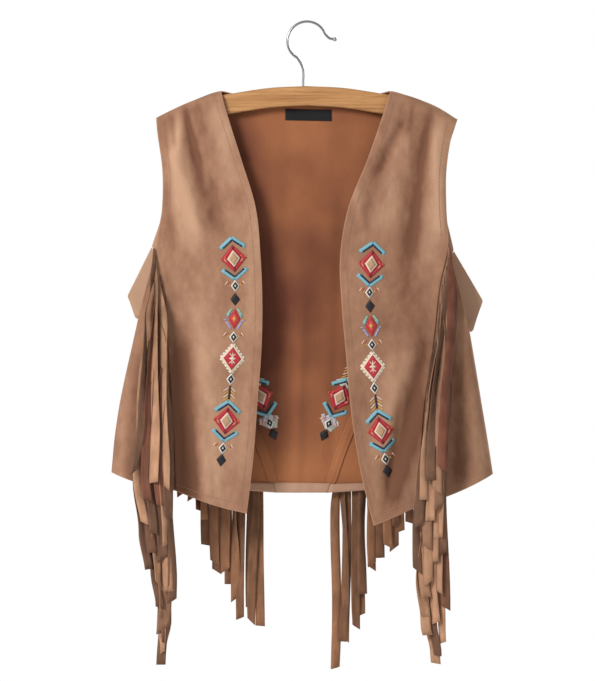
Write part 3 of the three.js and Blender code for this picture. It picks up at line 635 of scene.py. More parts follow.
SIDE_FOLD_RADIUS = 32
SIDE_SEAM_ANGLE = math.radians(50)
SIDE_FOLD = {
    "left": [(-205, -369), (-211, -395), (-226, -464), (-233, -510), (-237, -553)],
    "right": [(205, -387), (209, -410), (219, -471), (226, -513), (232.5, -555)],
}
SIDE_HEM_SAG = 3.5
SIDE_FRONT_HEIGHT = 200
# Shares across the panel at which its flat part and its fold end
FLAT_END = 0.5
FOLD_END = 0.78
SEAM_RISE_AT_ARMHOLE = 17
BACK_FOLDS = [
    # top x, z, foot x, z, width, height
    (-120, -130, -96, -400, 16, 2.5),
    (-70, -150, -40, -520, 18, -2.5),
    (20, -140, 8, -575, 20, 2),
    (78, -150, 52, -500, 16, -2.5),
    (128, -140, 106, -380, 15, 2.5),
    (-160, -360, -120, -575, 16, 2.5),
    (162, -360, 118, -575, 16, 2.5),
    (-180, -330, -176, -570, 13, -2.5),
    (184, -330, 172, -570, 13, -2.5),
]
BACK_CREASES = [
    # top x, z, foot x, z, width, height
    (-160, -118, -146, -180, 5, -1.5),
    (-140, -112, -122, -200, 6, 1.3),
    (-112, -100, -84, -190, 6, -1.6),
    (166, -118, 152, -185, 5, -1.5),
    (144, -110, 128, -205, 6, 1.3),
    (116, -100, 88, -190, 6, -1.6),
    (-20, -180, -26, -420, 9, 1.2),
    (48, -220, 34, -560, 8, 1.2),
    (-98, -240, -70, -420, 7, -1.4),
    (104, -260, 84, -420, 7, -1.4),
    (-2, -330, -10, -575, 7, -1.2),
]
BACK_SEED = 7
# How strongly the back's fold relief is painted as light and shade
BACK_FOLD_SHADING_SHARE = 1.6


def back_y(x, z, drop=WELL_BELOW_SHOULDER):
    return layer_depth(x, z, drop, BACK_DEPTH_AT_HEM, BACK_FOLDS, BACK_CREASES, BACK_SEED)


# Painted shading: the back is painted lighter on its fold ridges and darker in its troughs
def back_painted_shading(x, z):
    return BACK_FOLD_SHADING_SHARE * relief(BACK_FOLDS, BACK_CREASES, x, z, BACK_SEED)


def side_lines(side):
    outer = front_lines(side)[1]
    return lambda v: outer(lerp(SEAM_TOP_SHARE, 1, v)), smooth_line(SIDE_FOLD[side])


def around_fold(side, v, angle):
    fold = side_lines(side)[1](v)
    rise = (SEAM_RISE_AT_ARMHOLE * (1 - smooth(v * 3)) + 2) * angle / SIDE_SEAM_ANGLE
    x = fold[0] - OUTWARD[side] * SIDE_FOLD_RADIUS * (1 - math.cos(angle))
    return Vector((x, back_y(fold[0], fold[1]) * math.sin(angle), fold[1] + rise))


def side_front_panel(side):
    seam, fold = side_lines(side)
    gap_angle = SEAM_GAP / 2 / FRONT_DEPTH_AT_HEM

    def place(u, v):
        a, b = seam(v), fold(v)
        width = (b - a).length
        flat_share = 1 - SIDE_FOLD_RADIUS / width
        from_edge = min((1 - v) * SIDE_FRONT_HEIGHT, v * SIDE_FRONT_HEIGHT * 0.9)
        if u > FOLD_END:
            behind = (SIDE_SEAM_ANGLE - gap_angle) * (u - FOLD_END) / (1 - FOLD_END)
            return around_fold(side, v, behind), from_edge, 0
        angle = max(0, u - FLAT_END) / (FOLD_END - FLAT_END) * math.pi / 2
        if u < FLAT_END:
            w = lerp(SEAM_GAP / 2 / width, flat_share, u / FLAT_END)
        else:
            w = lerp(flat_share, 1, math.sin(angle))
        x = lerp(a[0], b[0], w)
        z = lerp(a[1], b[1], w) - SIDE_HEM_SAG * math.sin(math.pi * w) * smooth(v * 3 - 2)
        return Vector((x, front_y(x, z) * math.cos(angle), z)), from_edge, front_painted_shading(x, z)

    return place


for side in ("left", "right"):
    make_panel(f"side_front_panel_{side}", f"side_front_{side}", 44, 90, side_front_panel(side), FORWARDS)

# Centre back
# One panel from the shoulder seams and the neck edge down to a narrow hem, cut in at both
# sides along the V seams. It hangs over the back of the bar.

BACK_SECTIONS = [
    # left x, z, right x, z: the armholes for three steps, then the V seams
    (-182, -117, 189, -119),
    (-174, -150, 179, -152),
    (-170, -214, 172, -214),
    (-188, -276, 185, -281),
    (-150, -330, 152, -334),
    (-127, -377, 124, -384),
    (-108, -424, 99, -418),
    (-90, -468, 77, -458),
    (-56, -515, 49, -520),
    (-34, HEM_Z, 29, HEM_Z),
]
V_TOP_ROW = 3
BACK_STEPS = len(BACK_SECTIONS) - 1
V_TOP_SHARE = V_TOP_ROW / BACK_STEPS
# From the shoulder down to the second section
BACK_FIRST_STEP = 33
BACK_TOP = [
    # x, z and how far below the shoulder roll the cloth is cut
    (-182, -117, 0),
    (-157, -105.4, 0),
    (-127, -91.8, 0),
    (-102, -84, 0),
    (-88, -86.5, 3),
    (-66, -91.5, 10),
    (-32, -95.5, 16),
    (3, -97, 17),
    (38, -95.5, 16),
    (72, -91.5, 10),
    (94, -86.5, 3),
    (106, -84, 0),
    (133, -91.5, 0),
    (162, -102.6, 0),
    (189, -119, 0),
]


# A line with a sharp turn at the V's top
def v_line(first):
    points = [row[first:first + 2] for row in BACK_SECTIONS]
    upper, lower = smooth_line(points[:V_TOP_ROW + 1]), smooth_line(points[V_TOP_ROW:])
    split = V_TOP_SHARE
    return lambda v: upper(v / split) if v <= split else lower((v - split) / (1 - split))


v_lines = {"left": v_line(0), "right": v_line(2)}
back_top_z = smooth_line([(x, z) for x, z, drop in BACK_TOP])
back_top_drop = smooth_line([(x, drop) for x, z, drop in BACK_TOP])


def back_centre_place(u, v):
    share = shoulder_share(v, BACK_FIRST_STEP, BACK_STEPS)
    top_x, top_z = back_top_z(u)
    drop_here = max(0, back_top_drop(u)[1])
    across = (top_x - BACK_TOP[0][0]) / (BACK_TOP[-1][0] - BACK_TOP[0][0])
    a, b = v_lines["left"](share), v_lines["right"](share)
    in_seam = share * BACK_STEPS >= V_TOP_ROW
    width = (b - a).length
    gap_share = SEAM_GAP / 2 / width if in_seam else 0
    w = lerp(gap_share, 1 - gap_share, across)
    top_line = lerp(v_lines["left"](0)[1], v_lines["right"](0)[1], across)
    x = lerp(a[0], b[0], w)
    z = lerp(a[1], b[1], w) + (top_z - top_line) * (1 - smooth(share * 2.2))
    drop = max(0, top_z - z) + drop_here
    from_side = min(w, 1 - w) * width + CLEAR_OF_EDGE * smooth((share * BACK_STEPS - V_TOP_ROW) * 3)
    from_neck = max(0, top_z - z) + (CLEAR_OF_EDGE if drop_here < 0.2 else 0)
    from_edge = min(from_side, from_neck, z - HEM_Z)
    return Vector((x, back_y(x, z, drop), z)), from_edge, back_painted_shading(x, z)


make_panel("centre_back", "back_centre", 96, 150, back_centre_place, BACKWARDS)

# Side backs
# A shield-shaped panel on each side fills in from the V seam to the side seam. Its pointed
# top is the foot of the armhole, which stands out past the side front.

ARMHOLE_TIP = {"left": Vector((-218, -336)), "right": Vector((221, -342))}
TIP_SHARE = 0.72
UNDER_SHARE = 0.9
UNDER_REACH = 0.85
BACK_SIDE_HEM_SAG = 5
SIDE_BACK_HEIGHT = {"armhole": 200, "hem": 240}


def back_side_panel(side):
    line = v_lines[side]
    gap_angle = SEAM_GAP / 2 / BACK_DEPTH_AT_HEM
    tip = ARMHOLE_TIP[side]
    under = lerp(tip, Vector(SIDE_FOLD[side][0]), UNDER_REACH)

    def place(u, v):
        a = line(lerp(V_TOP_SHARE, 1, v)) + Vector((OUTWARD[side] * SEAM_GAP / 2, 0))
        seam = around_fold(side, v, SIDE_SEAM_ANGLE + gap_angle)
        b = Vector((seam.x, seam.z))
        near_armhole = 1 - smooth(v * 4)
        if u < TIP_SHARE:
            edge = lerp(a, tip, u / TIP_SHARE)
        elif u < UNDER_SHARE:
            edge = lerp(tip, under, (u - TIP_SHARE) / (UNDER_SHARE - TIP_SHARE))
        else:
            edge = lerp(under, b, (u - UNDER_SHARE) / (1 - UNDER_SHARE))
        x, z = lerp(lerp(a, b, u), edge, near_armhole)
        z -= BACK_SIDE_HEM_SAG * math.sin(math.pi * u) * smooth(v * 2 - 1)
        q = min(1, math.hypot(x - b[0], z - b[1]) / SIDE_FOLD_RADIUS)
        y = lerp(seam.y, back_y(x, z), q * (2 - q))
        from_edge = min(v * SIDE_BACK_HEIGHT["armhole"], (1 - v) * SIDE_BACK_HEIGHT["hem"])
        return Vector((x, y, z)), from_edge, back_painted_shading(x, z)

    return place


for side in ("left", "right"):
    make_panel(f"side_back_{side}", f"back_side_{side}", 44, 80, back_side_panel(side), BACKWARDS)

# Turned hem and neck band
# The back's hem and neck edge are turned in by 10 mm and stitched down, so the nap shows on
# the inside as a paler band below the neck and above the hem.

BAND_HEIGHT = TURN_IN
BAND_THICKNESS = 0.9
BACK_MIDDLE_TOP = -100
# The neck band is a little taller than the hem's and lies between two shares across
NECK_BAND_SCALE = 1.35
NECK_SPAN = (0.27, 0.73)
SIDE_BAND_LENGTH = 330
SIDE_BAND_END = 0.8
SEAM_BAND_WIDTH = 13
SEAM_BAND_THICKNESS = 0.5
# Just below the top of the V, where the allowance starts as a narrow tip
SEAM_BAND_START = 0.006
SEAM_BAND_TIP = 1.2
SEAM_BAND_TAPER = 0.8
SEAM_RIDGE = 0.6
SEAM_RIDGE_SHARE = 0.12
SEAM_BAND_TONE = 0.6


def inside_band(bm, place, from_v, to_v, columns, from_u=0, to_u=1):
    def band(u, v):
        at_u, at_v = lerp(from_u, to_u, u), lerp(from_v, to_v, v)
        point = place(at_u, at_v)[0]
        point.y -= CLOTH + SEAM_GAP + SEAM_BAND_THICKNESS + 0.1
        return point, lerp(0, BAND_HEIGHT, v), 1
    add_surface(bm, columns, 4, band, PANEL_MARKS[:2], out=FORWARDS)


# The seam allowances inside a V seam, pressed flat and overlocked together
def seam_band(bm, line):
    def band(u, v):
        share = lerp(V_TOP_SHARE + SEAM_BAND_START, 1, v)
        here = line(share)
        ahead = (line(min(1, share + 0.01)) - line(share - 0.01)).normalized()
        half = lerp(SEAM_BAND_TIP, SEAM_BAND_WIDTH / 2, smooth(v * 8))
        half *= 1 - SEAM_BAND_TAPER * smooth(v * 20 - 19)
        x, z = here + Vector((-ahead.y, ahead.x)) * (2 * u - 1) * half
        ridge = SEAM_RIDGE * math.exp(-((u - 0.5) / SEAM_RIDGE_SHARE) ** 2)
        point = Vector((x, back_y(x, z) - CLOTH - SEAM_GAP - ridge, z))
        # the seam allowances carry the wrong side's painted shade and light, a little lighter
        return point, heights(INNER_PAINTED_SHADING, x, z) + SEAM_BAND_TONE
    add_surface(bm, 8, 60, band, ("inner_painted_shading",), out=FORWARDS)


bm = bmesh.new()
for line in v_lines.values():
    seam_band(bm, line)
seam_bands = finish_piece(bm, "seam_allowances", [wrong_side])
thicken(seam_bands, "cloth_thickness", SEAM_BAND_THICKNESS, 1)

bm = bmesh.new()
hem_share = BAND_HEIGHT / (BACK_MIDDLE_TOP - HEM_Z)
inside_band(bm, back_centre_place, 1, 1 - hem_share, 40)
inside_band(bm, back_centre_place, 0.001, hem_share * NECK_BAND_SCALE, 40, *NECK_SPAN)
for side in ("left", "right"):
    inside_band(bm, back_side_panel(side), 1, 1 - BAND_HEIGHT / SIDE_BAND_LENGTH, 30, 0, SIDE_BAND_END)
turned_suede = imitation_suede("turned_suede", "#C39C84", "#B08770", "#94694F")
bands = finish_piece(bm, "turned_bands", [turned_suede])
thicken(bands, "cloth_thickness", BAND_THICKNESS, 1)

# Topstitching
# Matching polyester thread in 4 mm lockstitches, 9 mm in from the front edges, armholes and
# hems, which holds their turned edges.

STITCH_STEP = 4
STITCH_WIDTH = 0.55
STITCH_SPAN = (0.12, 0.88)
THREAD_THICKNESS = 0.4
FRONT_LENGTH = 519
BACK_LENGTH = 482


def polyester_thread():
    material, tree, shader = new_material("polyester_thread", Roughness=0.6, Sheen_Weight=0.2)
    place = add_node(tree, "ShaderNodeTexCoord").outputs["Object"]
    twist = add_node(tree, "ShaderNodeTexNoise", {"Scale": 700, "Detail": 2}, {"Vector": place})
    colour = add_node(tree, "ShaderNodeMix", {"data_type": "RGBA", 6: linear("#98705A"), 7: linear("#B0876C")},
                      {0: twist.outputs[0]})
    tree.links.new(colour.outputs[2], shader.inputs["Base Color"])
    return material


# One row of stitches along path(t), which gives the panel's u and v
def stitch_row(bm, place, path, out):
    points = [place(*path(i / 80))[0] for i in range(81)]
    count = round(sum((b - a).length for a, b in zip(points, points[1:])) / STITCH_STEP)
    for i in range(count):
        start, end = (place(*path((i + part) / count))[0] for part in STITCH_SPAN)
        across = (end - start).cross(out).normalized() * STITCH_WIDTH

        def stitch(u, v):
            return lerp(start, end, v) + across * (u - 0.5) + out * (0.15 + 0.2 * math.sin(math.pi * v))
        add_surface(bm, 2, 3, stitch, out=out)


# Along a panel's near side, or along its far side
def beside_edge(place, first_v, last_v, far=False):
    def path(t):
        v = lerp(first_v, last_v, t)
        share = STITCH_INSET / (place(1, v)[0] - place(0, v)[0]).length
        return (1 - share if far else share), v
    return path


def above_hem(height, first_u, last_u):
    return lambda t: (lerp(first_u, last_u, t), 1 - STITCH_INSET / height)


bm = bmesh.new()
for side in ("left", "right"):
    front, side_front, side_back = front_panel(side), side_front_panel(side), back_side_panel(side)
    stitch_row(bm, front, beside_edge(front, ROLL_ROWS, 0.983), FORWARDS)
    stitch_row(bm, front, beside_edge(front, ROLL_ROWS, SEAM_TOP_SHARE - 0.02, True), FORWARDS)
    stitch_row(bm, front, above_hem(FRONT_LENGTH, 0.08, 0.99), FORWARDS)
    stitch_row(bm, side_front, above_hem(SIDE_FRONT_HEIGHT, 0.02, 0.48), FORWARDS)
    stitch_row(bm, side_back, above_hem(SIDE_BACK_HEIGHT["hem"], 0.02, 0.98), BACKWARDS)
stitch_row(bm, back_centre_place, above_hem(BACK_LENGTH, 0.01, 0.99), BACKWARDS)
for far in (False, True):
    stitch_row(bm, back_centre_place, beside_edge(back_centre_place, ROLL_ROWS, 0.3, far), BACKWARDS)
stitches = finish_piece(bm, "topstitching", [polyester_thread()])
thicken(stitches, "thread_thickness", THREAD_THICKNESS, -1)

# Front fringe
# Long strips about 12 mm wide, cut side by side in a band of the same suede that is let into
# each princess seam. They hang one over another down the side and show both faces.

STRAND_THICKNESS = 0.7
FRINGE_STRANDS = 22
FRONT_STRAND_LENGTH = 277
FRONT_STRAND_SHARES = (0.97, 1)
FRONT_STRAND_WIDTHS = (10.5, 13)
# z of the first root and of the last
FRONT_FRINGE = (-278, -512)
# How wide each bundle hangs: z, then the middles of its outermost and innermost strips
FRONT_BUNDLE = {
    "left": [(-284, -184, -176), (-325, -188, -172), (-365, -193, -168), (-483, -199, -166),
             (-560, -206, -163), (-624, -196, -162), (-675, -188, -162), (-716, -181, -163),
             (-790, -178, -172)],
    "right": [(-284, 181, 175), (-325, 182, 168), (-365, 180, 161), (-464, 176, 149), (-560, 172, 143),
              (-620, 172, 140), (-678, 172, 139), (-737, 172, 147), (-772, 172, 156), (-790, 166, 160)],
}
# Where each strip hangs between those two, from the first root to the last
STRAND_SHARES = {
    "left": (0, 0.5, 0.85, 0.3, 0.65, 0.95, 0.05, 0.45, 0.75, 0.2, 0.6,
             0, 0.4, 0.8, 1, 0.15, 0.55, 0.75, 0.35, 0.6, 0.3, 0.5),
    "right": (0.1, 0.6, 0.35, 0.85, 0.2, 0.5, 0.95, 0.3, 0.7, 0.1, 0.45,
              1, 0.65, 0.25, 0.75, 0.05, 0.9, 0.4, 0.85, 0.1, 0.5, 0.7),
}
STRAND_LAYER = 1.08
ROOT_CLEARANCE = 5
ROOT_LIFT = 0.8
ROOT_OUT = 3
ROOT_WIDTH_SHARE = 0.22
# How far down a strip hangs loose and turns flat, over how far its painted shade lightens, and where its end
# curls
LOOSE_FROM = 60
FULL_WIDTH_FROM = 58
ROOT_TURN_LENGTH = 24
FLATTER_FROM = 140
FLATTER_OVER = 110
LIGHTENING_OVER = 200
CURL_FROM = 0.86
SLANT_FROM = 0.9


# The last point of a line, from a share of it on, that is still before a root
def root_on(line, low, is_before):
    high = 1
    for _ in range(24):
        middle = (low + high) / 2
        if is_before(line(middle)):
            low = middle
        else:
            high = middle
    return line(low)


def passed_layers(distance, spacing):
    near = ROOT_CLEARANCE * (1 - math.exp(-distance / (1.8 * spacing)))
    return near + STRAND_LAYER * distance / spacing


def bundle_x(side, z, share):
    rows = FRONT_BUNDLE[side]
    for above, below in zip(rows, rows[1:]):
        if z > below[0]:
            break
    t = smooth((above[0] - z) / (above[0] - below[0]))
    return lerp(lerp(above[1], below[1], t), lerp(above[2], below[2], t), share)


# One limp strip: it leaves its seam on edge, turns flat, twists slowly and cups across its
# width. Its end is cut at a slant.
def add_strand(bm, path, length, width, facing, chance, turns, curl=0):
    turn_in = chance.choice((-1, 1)) * chance.uniform(0.6, 1.1)
    steady = chance.choice(turns) + chance.uniform(-0.15, 0.15)
    swing = chance.uniform(0.2, 0.5) * chance.choice((1, 1, 1.8))
    wave = chance.uniform(38, 70)
    phase = chance.uniform(0, 6.3)
    cup = chance.uniform(-1.6, 1.6)
    slant = chance.uniform(-5, 5)
    tone_and_shading = chance.uniform(0, 1)

    def place(u, v):
        level = v * length
        loose = smooth(level / LOOSE_FROM)
        turn = facing + turn_in * math.exp(-level / ROOT_TURN_LENGTH)
        flatter = lerp(1, 0.4, smooth((level - FLATTER_FROM) / FLATTER_OVER))
        turn += loose * flatter * (steady + swing * math.sin(level / wave + phase))
        turn += curl * smooth((v - CURL_FROM) / (1 - CURL_FROM))
        t = u - 0.5
        sag = slant * 2 * t * smooth((v - SLANT_FROM) / (1 - SLANT_FROM))
        wide = Vector((math.cos(turn), math.sin(turn), 0))
        normal = Vector((math.sin(turn), -math.cos(turn), 0))
        here = width * lerp(ROOT_WIDTH_SHARE, 1, smooth(level / FULL_WIDTH_FROM))
        bow = cup * (1 - 4 * t * t) * loose
        point = path(level) + wide * here * t + normal * bow
        return point + Vector((0, 0, sag)), tone_and_shading, smooth((level - LOOSE_FROM) / LIGHTENING_OVER)

    add_surface(bm, 4, max(12, int(length / 8)), place, ("tone_and_shading", "lightening"), uv_size=(width, length))


def front_strand_path(side, index, chance):
    first_z, last_z = FRONT_FRINGE
    spacing = (first_z - last_z) / (FRINGE_STRANDS - 1)
    top = first_z - index * spacing
    root = root_on(side_lines(side)[0], 0, lambda point: point[1] > top)
    root_x = root[0] + OUTWARD[side] * ROOT_OUT
    share = STRAND_SHARES[side][index]
    sway = chance.uniform(0.8, 2.6)
    sway_phase = chance.uniform(0, 6.3)

    def path(level):
        z = top - level
        x = bundle_x(side, z, share) + sway * math.sin(level / 44 + sway_phase) * smooth(level / 80)
        x = lerp(root_x, x, smooth(level / 80))
        at_z = max(z, HEM_Z + 2)
        reach = 3 if level < 4 else 16
        proud = min(front_y(x + reach * k / 2, at_z) for k in (-2, -1, 0, 1, 2))
        passed = min(level, top - last_z + 8)
        return Vector((x, proud - ROOT_LIFT - passed_layers(passed, spacing), z))

    return path


# Fringe suede: each strip has its own tone, from tan to grey-brown and rust, the dark grey-brown partly
# painted shade;
# its upper part is painted in shade that lightens towards its end
def fringe_suede(name, tan, grey, rust):
    material, tree, shader = new_material(
        name, Roughness=0.95, Specular_IOR_Level=0.2, Sheen_Weight=0.3, Sheen_Roughness=0.45,
        Sheen_Tint=linear("#E2BFA2"))
    place = add_node(tree, "ShaderNodeTexCoord").outputs["Object"]
    tone_and_shading = add_node(tree, "ShaderNodeAttribute", {"attribute_name": "tone_and_shading"})
    lightening = add_node(tree, "ShaderNodeAttribute", {"attribute_name": "lightening"})
    greyed = add_node(tree, "ShaderNodeMapRange", {"From Min": 0.3, "From Max": 0.6, "To Max": 0.9},
                      {"Value": tone_and_shading.outputs["Fac"]})
    rusty = add_node(tree, "ShaderNodeMapRange", {"From Min": 0.9, "From Max": 0.97, "To Max": 0.6},
                     {"Value": tone_and_shading.outputs["Fac"]})
    first = add_node(tree, "ShaderNodeMix", {"data_type": "RGBA", 6: linear(tan), 7: linear(grey)},
                     {0: greyed.outputs[0]})
    second = add_node(tree, "ShaderNodeMix", {"data_type": "RGBA", 7: linear(rust)},
                      {0: rusty.outputs[0], 6: first.outputs[2]})
    brushed = add_node(tree, "ShaderNodeMapping", {"Scale": (1, 1, 0.35)}, {"Vector": place})
    patches = add_node(tree, "ShaderNodeTexNoise", {"Scale": 120, "Detail": 3},
                       {"Vector": brushed.outputs[0]})
    patched = add_node(tree, "ShaderNodeMapRange",
                       {"From Min": 0.35, "From Max": 0.65, "To Min": 0.65, "To Max": 1},
                       {"Value": patches.outputs[0]})
    # painted shade over a strip's upper part, lifting to painted light at its end
    shade = add_node(tree, "ShaderNodeMath", {"operation": "MULTIPLY_ADD", 1: 0.3},
                     {0: lightening.outputs["Fac"], 2: patched.outputs[0]})
    shaded = add_node(tree, "ShaderNodeVectorMath", {"operation": "SCALE"},
                      {0: second.outputs[2], "Scale": shade.outputs[0]})
    tree.links.new(shaded.outputs[0], shader.inputs["Base Color"])
    nap = add_node(tree, "ShaderNodeTexNoise", {"Scale": 1250, "Detail": 3}, {"Vector": place})
    bump = add_node(tree, "ShaderNodeBump", {"Strength": 0.3, "Distance": 0.0005}, {"Height": nap.outputs[0]})
    tree.links.new(bump.outputs[0], shader.inputs["Normal"])
    return material


# A fringe's right side, then its wrong side, painted darker than the back fringe's copies as painted shade
shaded_front_fringe_cloth = [
    fringe_suede("fringe_suede", "#B08568", "#66493A", "#7A4435"),
    fringe_suede("fringe_wrong_side_shaded", "#735038", "#4E3428", "#592B20"),
]


def finish_fringe(bm, name, node, cloth):
    fringe = finish_piece(bm, name, cloth, [node])
    thicken(fringe, "cloth_thickness", STRAND_THICKNESS, 0).material_offset = 1


FRONT_TURNS = (-1.2, -0.9, -0.35, -0.1, 0.15, 0.4, 1.0, 1.25)
CURLED_STRAND = ("left", 19)
CURLED_TURN = 1.4
for side in ("left", "right"):
    chance = random.Random(11 if side == "left" else 23)
    bm = bmesh.new()
    for index in range(FRINGE_STRANDS):
        path = front_strand_path(side, index, chance)
        curl = CURLED_TURN if (side, index) == CURLED_STRAND else chance.uniform(-0.3, 0.3)
        length = FRONT_STRAND_LENGTH * chance.uniform(*FRONT_STRAND_SHARES)
        width = chance.uniform(*FRONT_STRAND_WIDTHS)
        add_strand(bm, path, length, width, 0, chance, FRONT_TURNS, curl)
    finish_fringe(bm, f"front_fringe_{side}", f"fringe_front_{side}", shaded_front_fringe_cloth)

# Back fringe
# The same cut strips are let into both V seams and hang straight down over the back. They
# reach well below the hem and end in steps that follow the V.

BACK_STRAND_LENGTH = 250
BACK_STRAND_SHARES = (0.86, 1.03)
BACK_STRAND_WIDTHS = (10, 12)
# x of the first root and of the last
BACK_FRINGE = {"left": (-182, -57), "right": (180, 41)}
# How far off the cloth the nearer strips hang, and how much further the others do
BACK_LAYER = (2.2, 3.4)
BACK_ROOT_LIFT = 0.9


def back_strand_path(side, index, chance):
    first_x, last_x = BACK_FRINGE[side]
    root_x = lerp(first_x, last_x, index / (FRINGE_STRANDS - 1))
    root = root_on(v_lines[side], V_TOP_SHARE, lambda point: abs(point[0]) > abs(root_x))
    first, spacing = BACK_LAYER
    layer = index % 2
    drift = chance.uniform(-4, 4)
    sway = chance.uniform(0.8, 3)
    phase = chance.uniform(0, 6.3)

    def path(level):
        z = root[1] - level
        x = root[0] + drift * smooth(level / 120) + sway * math.sin(level / 45 + phase) * smooth(level / 70)
        at_z = max(z, HEM_Z + 2)
        proud = max(back_y(root[0] + dx, lerp(root[1], at_z, t))
                    for dx in (-7, 0, 7) for t in (0, 0.3, 0.6, 0.8, 1))
        out = BACK_ROOT_LIFT + (first + spacing * layer) * smooth(level / 14)
        return Vector((x, proud + out, z))

    return path


# The back fringe's copies of the same cloth, painted lighter as painted light
lit_back_fringe_cloth = [
    fringe_suede("back_fringe_suede_lit", "#B68B6C", "#80604D", "#8E4F3B"),
    fringe_suede("back_fringe_wrong_side_lit", "#93684C", "#74523E", "#7F4030"),
]
BACK_TURNS = (-0.4, -0.25, -0.1, 0, 0.1, 0.25, 0.4, 0.9)
for side in ("left", "right"):
    chance = random.Random(37 if side == "left" else 53)
    bm = bmesh.new()
    for index in range(FRINGE_STRANDS):
        path = back_strand_path(side, index, chance)
        length = BACK_STRAND_LENGTH * chance.uniform(*BACK_STRAND_SHARES)
        width = chance.uniform(*BACK_STRAND_WIDTHS)
        curl = chance.uniform(-0.3, 0.3)
        add_strand(bm, path, length, width, math.pi, chance, BACK_TURNS, curl)
    finish_fringe(bm, f"back_fringe_{side}", f"fringe_back_{side}", lit_back_fringe_cloth)

# Neck label
# A folded black satin tape 57 mm long, sewn to the inside of the back just below the neck
# edge and left blank.

LABEL = {"x": 5.4, "z": -113, "width": 57, "height": 14, "thickness": 0.8, "tilt": -0.02}


def satin_tape():
    material, tree, shader = new_material("black_satin_tape", Roughness=0.55, Specular_IOR_Level=0.25)
    uv = add_node(tree, "ShaderNodeUVMap", {"uv_map": "UVMap"})
    # the tape's yarns are 0.15 mm apart, drawn at 0.5 mm to show
    ribs = add_node(tree, "ShaderNodeTexWave", {"bands_direction": "Y", "Scale": 0.64, "Distortion": 0.4},
                    {"Vector": uv.outputs[0]})
    colour = add_node(tree, "ShaderNodeMix", {"data_type": "RGBA", 6: linear("#0E0D10"), 7: linear("#1A181C")},
                      {0: ribs.outputs[0]})
    tree.links.new(colour.outputs[2], shader.inputs["Base Color"])
    bump = add_node(tree, "ShaderNodeBump", {"Strength": 0.4, "Distance": 0.0002},
                    {"Height": ribs.outputs[0]})
    tree.links.new(bump.outputs[0], shader.inputs["Normal"])
    return material


def label_point(u, v):
    x = LABEL["x"] + (u - 0.5) * LABEL["width"]
    z = LABEL["z"] - (v - 0.5) * LABEL["height"] + (u - 0.5) * LABEL["width"] * LABEL["tilt"]
    pinned = abs(2 * u - 1) ** 6
    lift = 0.35 * (1 - pinned) * math.sin(math.pi * v)
    return Vector((x, back_y(x, z) - CLOTH - SEAM_GAP - LABEL["thickness"] - lift, z))


bm = bmesh.new()
add_surface(bm, 24, 8, label_point, uv_size=(LABEL["width"], LABEL["height"]), out=FORWARDS)
label = finish_piece(bm, "label", [satin_tape()], ["neck_label"])
thicken(label, "tape_thickness", LABEL["thickness"], -1)
folded = label.modifiers.new("folded_ends", "BEVEL")
folded.width = 0.0003
folded.segments = 2
folded.limit_method = "ANGLE"

# Embroidery
# Machine satin stitch in bright rayon thread: a chain of diamonds, chevrons and arrows 275 mm
# long down each front and along each V seam. The back's chains show inside as well.

CHAIN_LENGTH = 275
CHAINS = {
    # points along each chain from its top, evenly apart
    "front_left": [(-88.6, -265), (-84.4, -320), (-85.8, -375), (-89, -429.5), (-94.5, -485),
                   (-101.6, -539.3)],
    "front_right": [(84.9, -271), (80.4, -328), (83, -384), (85.5, -440), (93, -497), (102.7, -552.8)],
    "back_left": [(-140, -254), (-120, -305), (-98, -355), (-76, -405), (-55, -456), (-37, -508.5)],
    "back_right": [(131, -254), (110, -305), (88, -355), (67, -406), (46, -457), (24, -509.7)],
}
THREADS = {
    "turquoise": "#7DB9C6", "navy": "#152A45", "red": "#C2303A", "dark_red": "#7A1621",
    "orange": "#DD5B3C", "cream": "#F2DFC6", "tan": "#C29C78", "white": "#F0EAE0",
    "black": "#231B1D", "yellow": "#E2B257", "mint": "#8FC9B4", "lilac": "#A9A8D2",
    "salmon": "#E4907A", "pale_lilac": "#C9BEC6", "pale_mint": "#C4CDB9",
}


def rayon_thread(name, colour):
    material, tree, shader = new_material(
        f"rayon_{name}", Roughness=0.42, Sheen_Weight=0.15, Sheen_Roughness=0.3)
    uv = add_node(tree, "ShaderNodeUVMap", {"uv_map": "UVMap"})
    # stitches lie 0.4 mm apart, drawn at 0.9 mm to show
    stitches = add_node(tree, "ShaderNodeTexWave", {"bands_direction": "Y", "Scale": 0.35, "Distortion": 0.8,
                                                    "Detail": 1}, {"Vector": uv.outputs[0]})
    base = linear(colour)
    # painted shade between the satin stitches and painted highlight on their crests
    shade = add_node(tree, "ShaderNodeMix", {"data_type": "RGBA", 6: (*(0.72 * c for c in base[:3]), 1),
                                             7: (*(min(1, 1.12 * c) for c in base[:3]), 1)},
                     {0: stitches.outputs[0]})
    tree.links.new(shade.outputs[2], shader.inputs["Base Color"])
    bump = add_node(tree, "ShaderNodeBump", {"Strength": 0.6, "Distance": 0.0003},
                    {"Height": stitches.outputs[0]})
    tree.links.new(bump.outputs[0], shader.inputs["Normal"])
    return material


rayons = {name: rayon_thread(name, colour) for name, colour in THREADS.items()}


# The satin patches of one chain: four corners across and down from the chain's top, the
# thread and how many patches lie below
def diamond(at, width, height, thread, level, shift=0):
    corners = ((shift, at - height / 2), (shift + width / 2, at),
               (shift, at + height / 2), (shift - width / 2, at))
    return [(corners, thread, level)]


def stroke(from_t, from_s, to_t, to_s, thickness, thread, level=0):
    along = Vector((to_t - from_t, to_s - from_s)).normalized() * thickness / 2
    across = (-along.y, along.x)
    corners = ((from_t - across[0], from_s - across[1]), (to_t - across[0], to_s - across[1]),
               (to_t + across[0], to_s + across[1]), (from_t + across[0], from_s + across[1]))
    return [(corners, thread, level)]


def pair(from_t, from_s, to_t, to_s, thickness, thread, level=0):
    return stroke(from_t, from_s, to_t, to_s, thickness, thread, level) + stroke(
        -from_t, from_s, -to_t, to_s, thickness, thread, level)


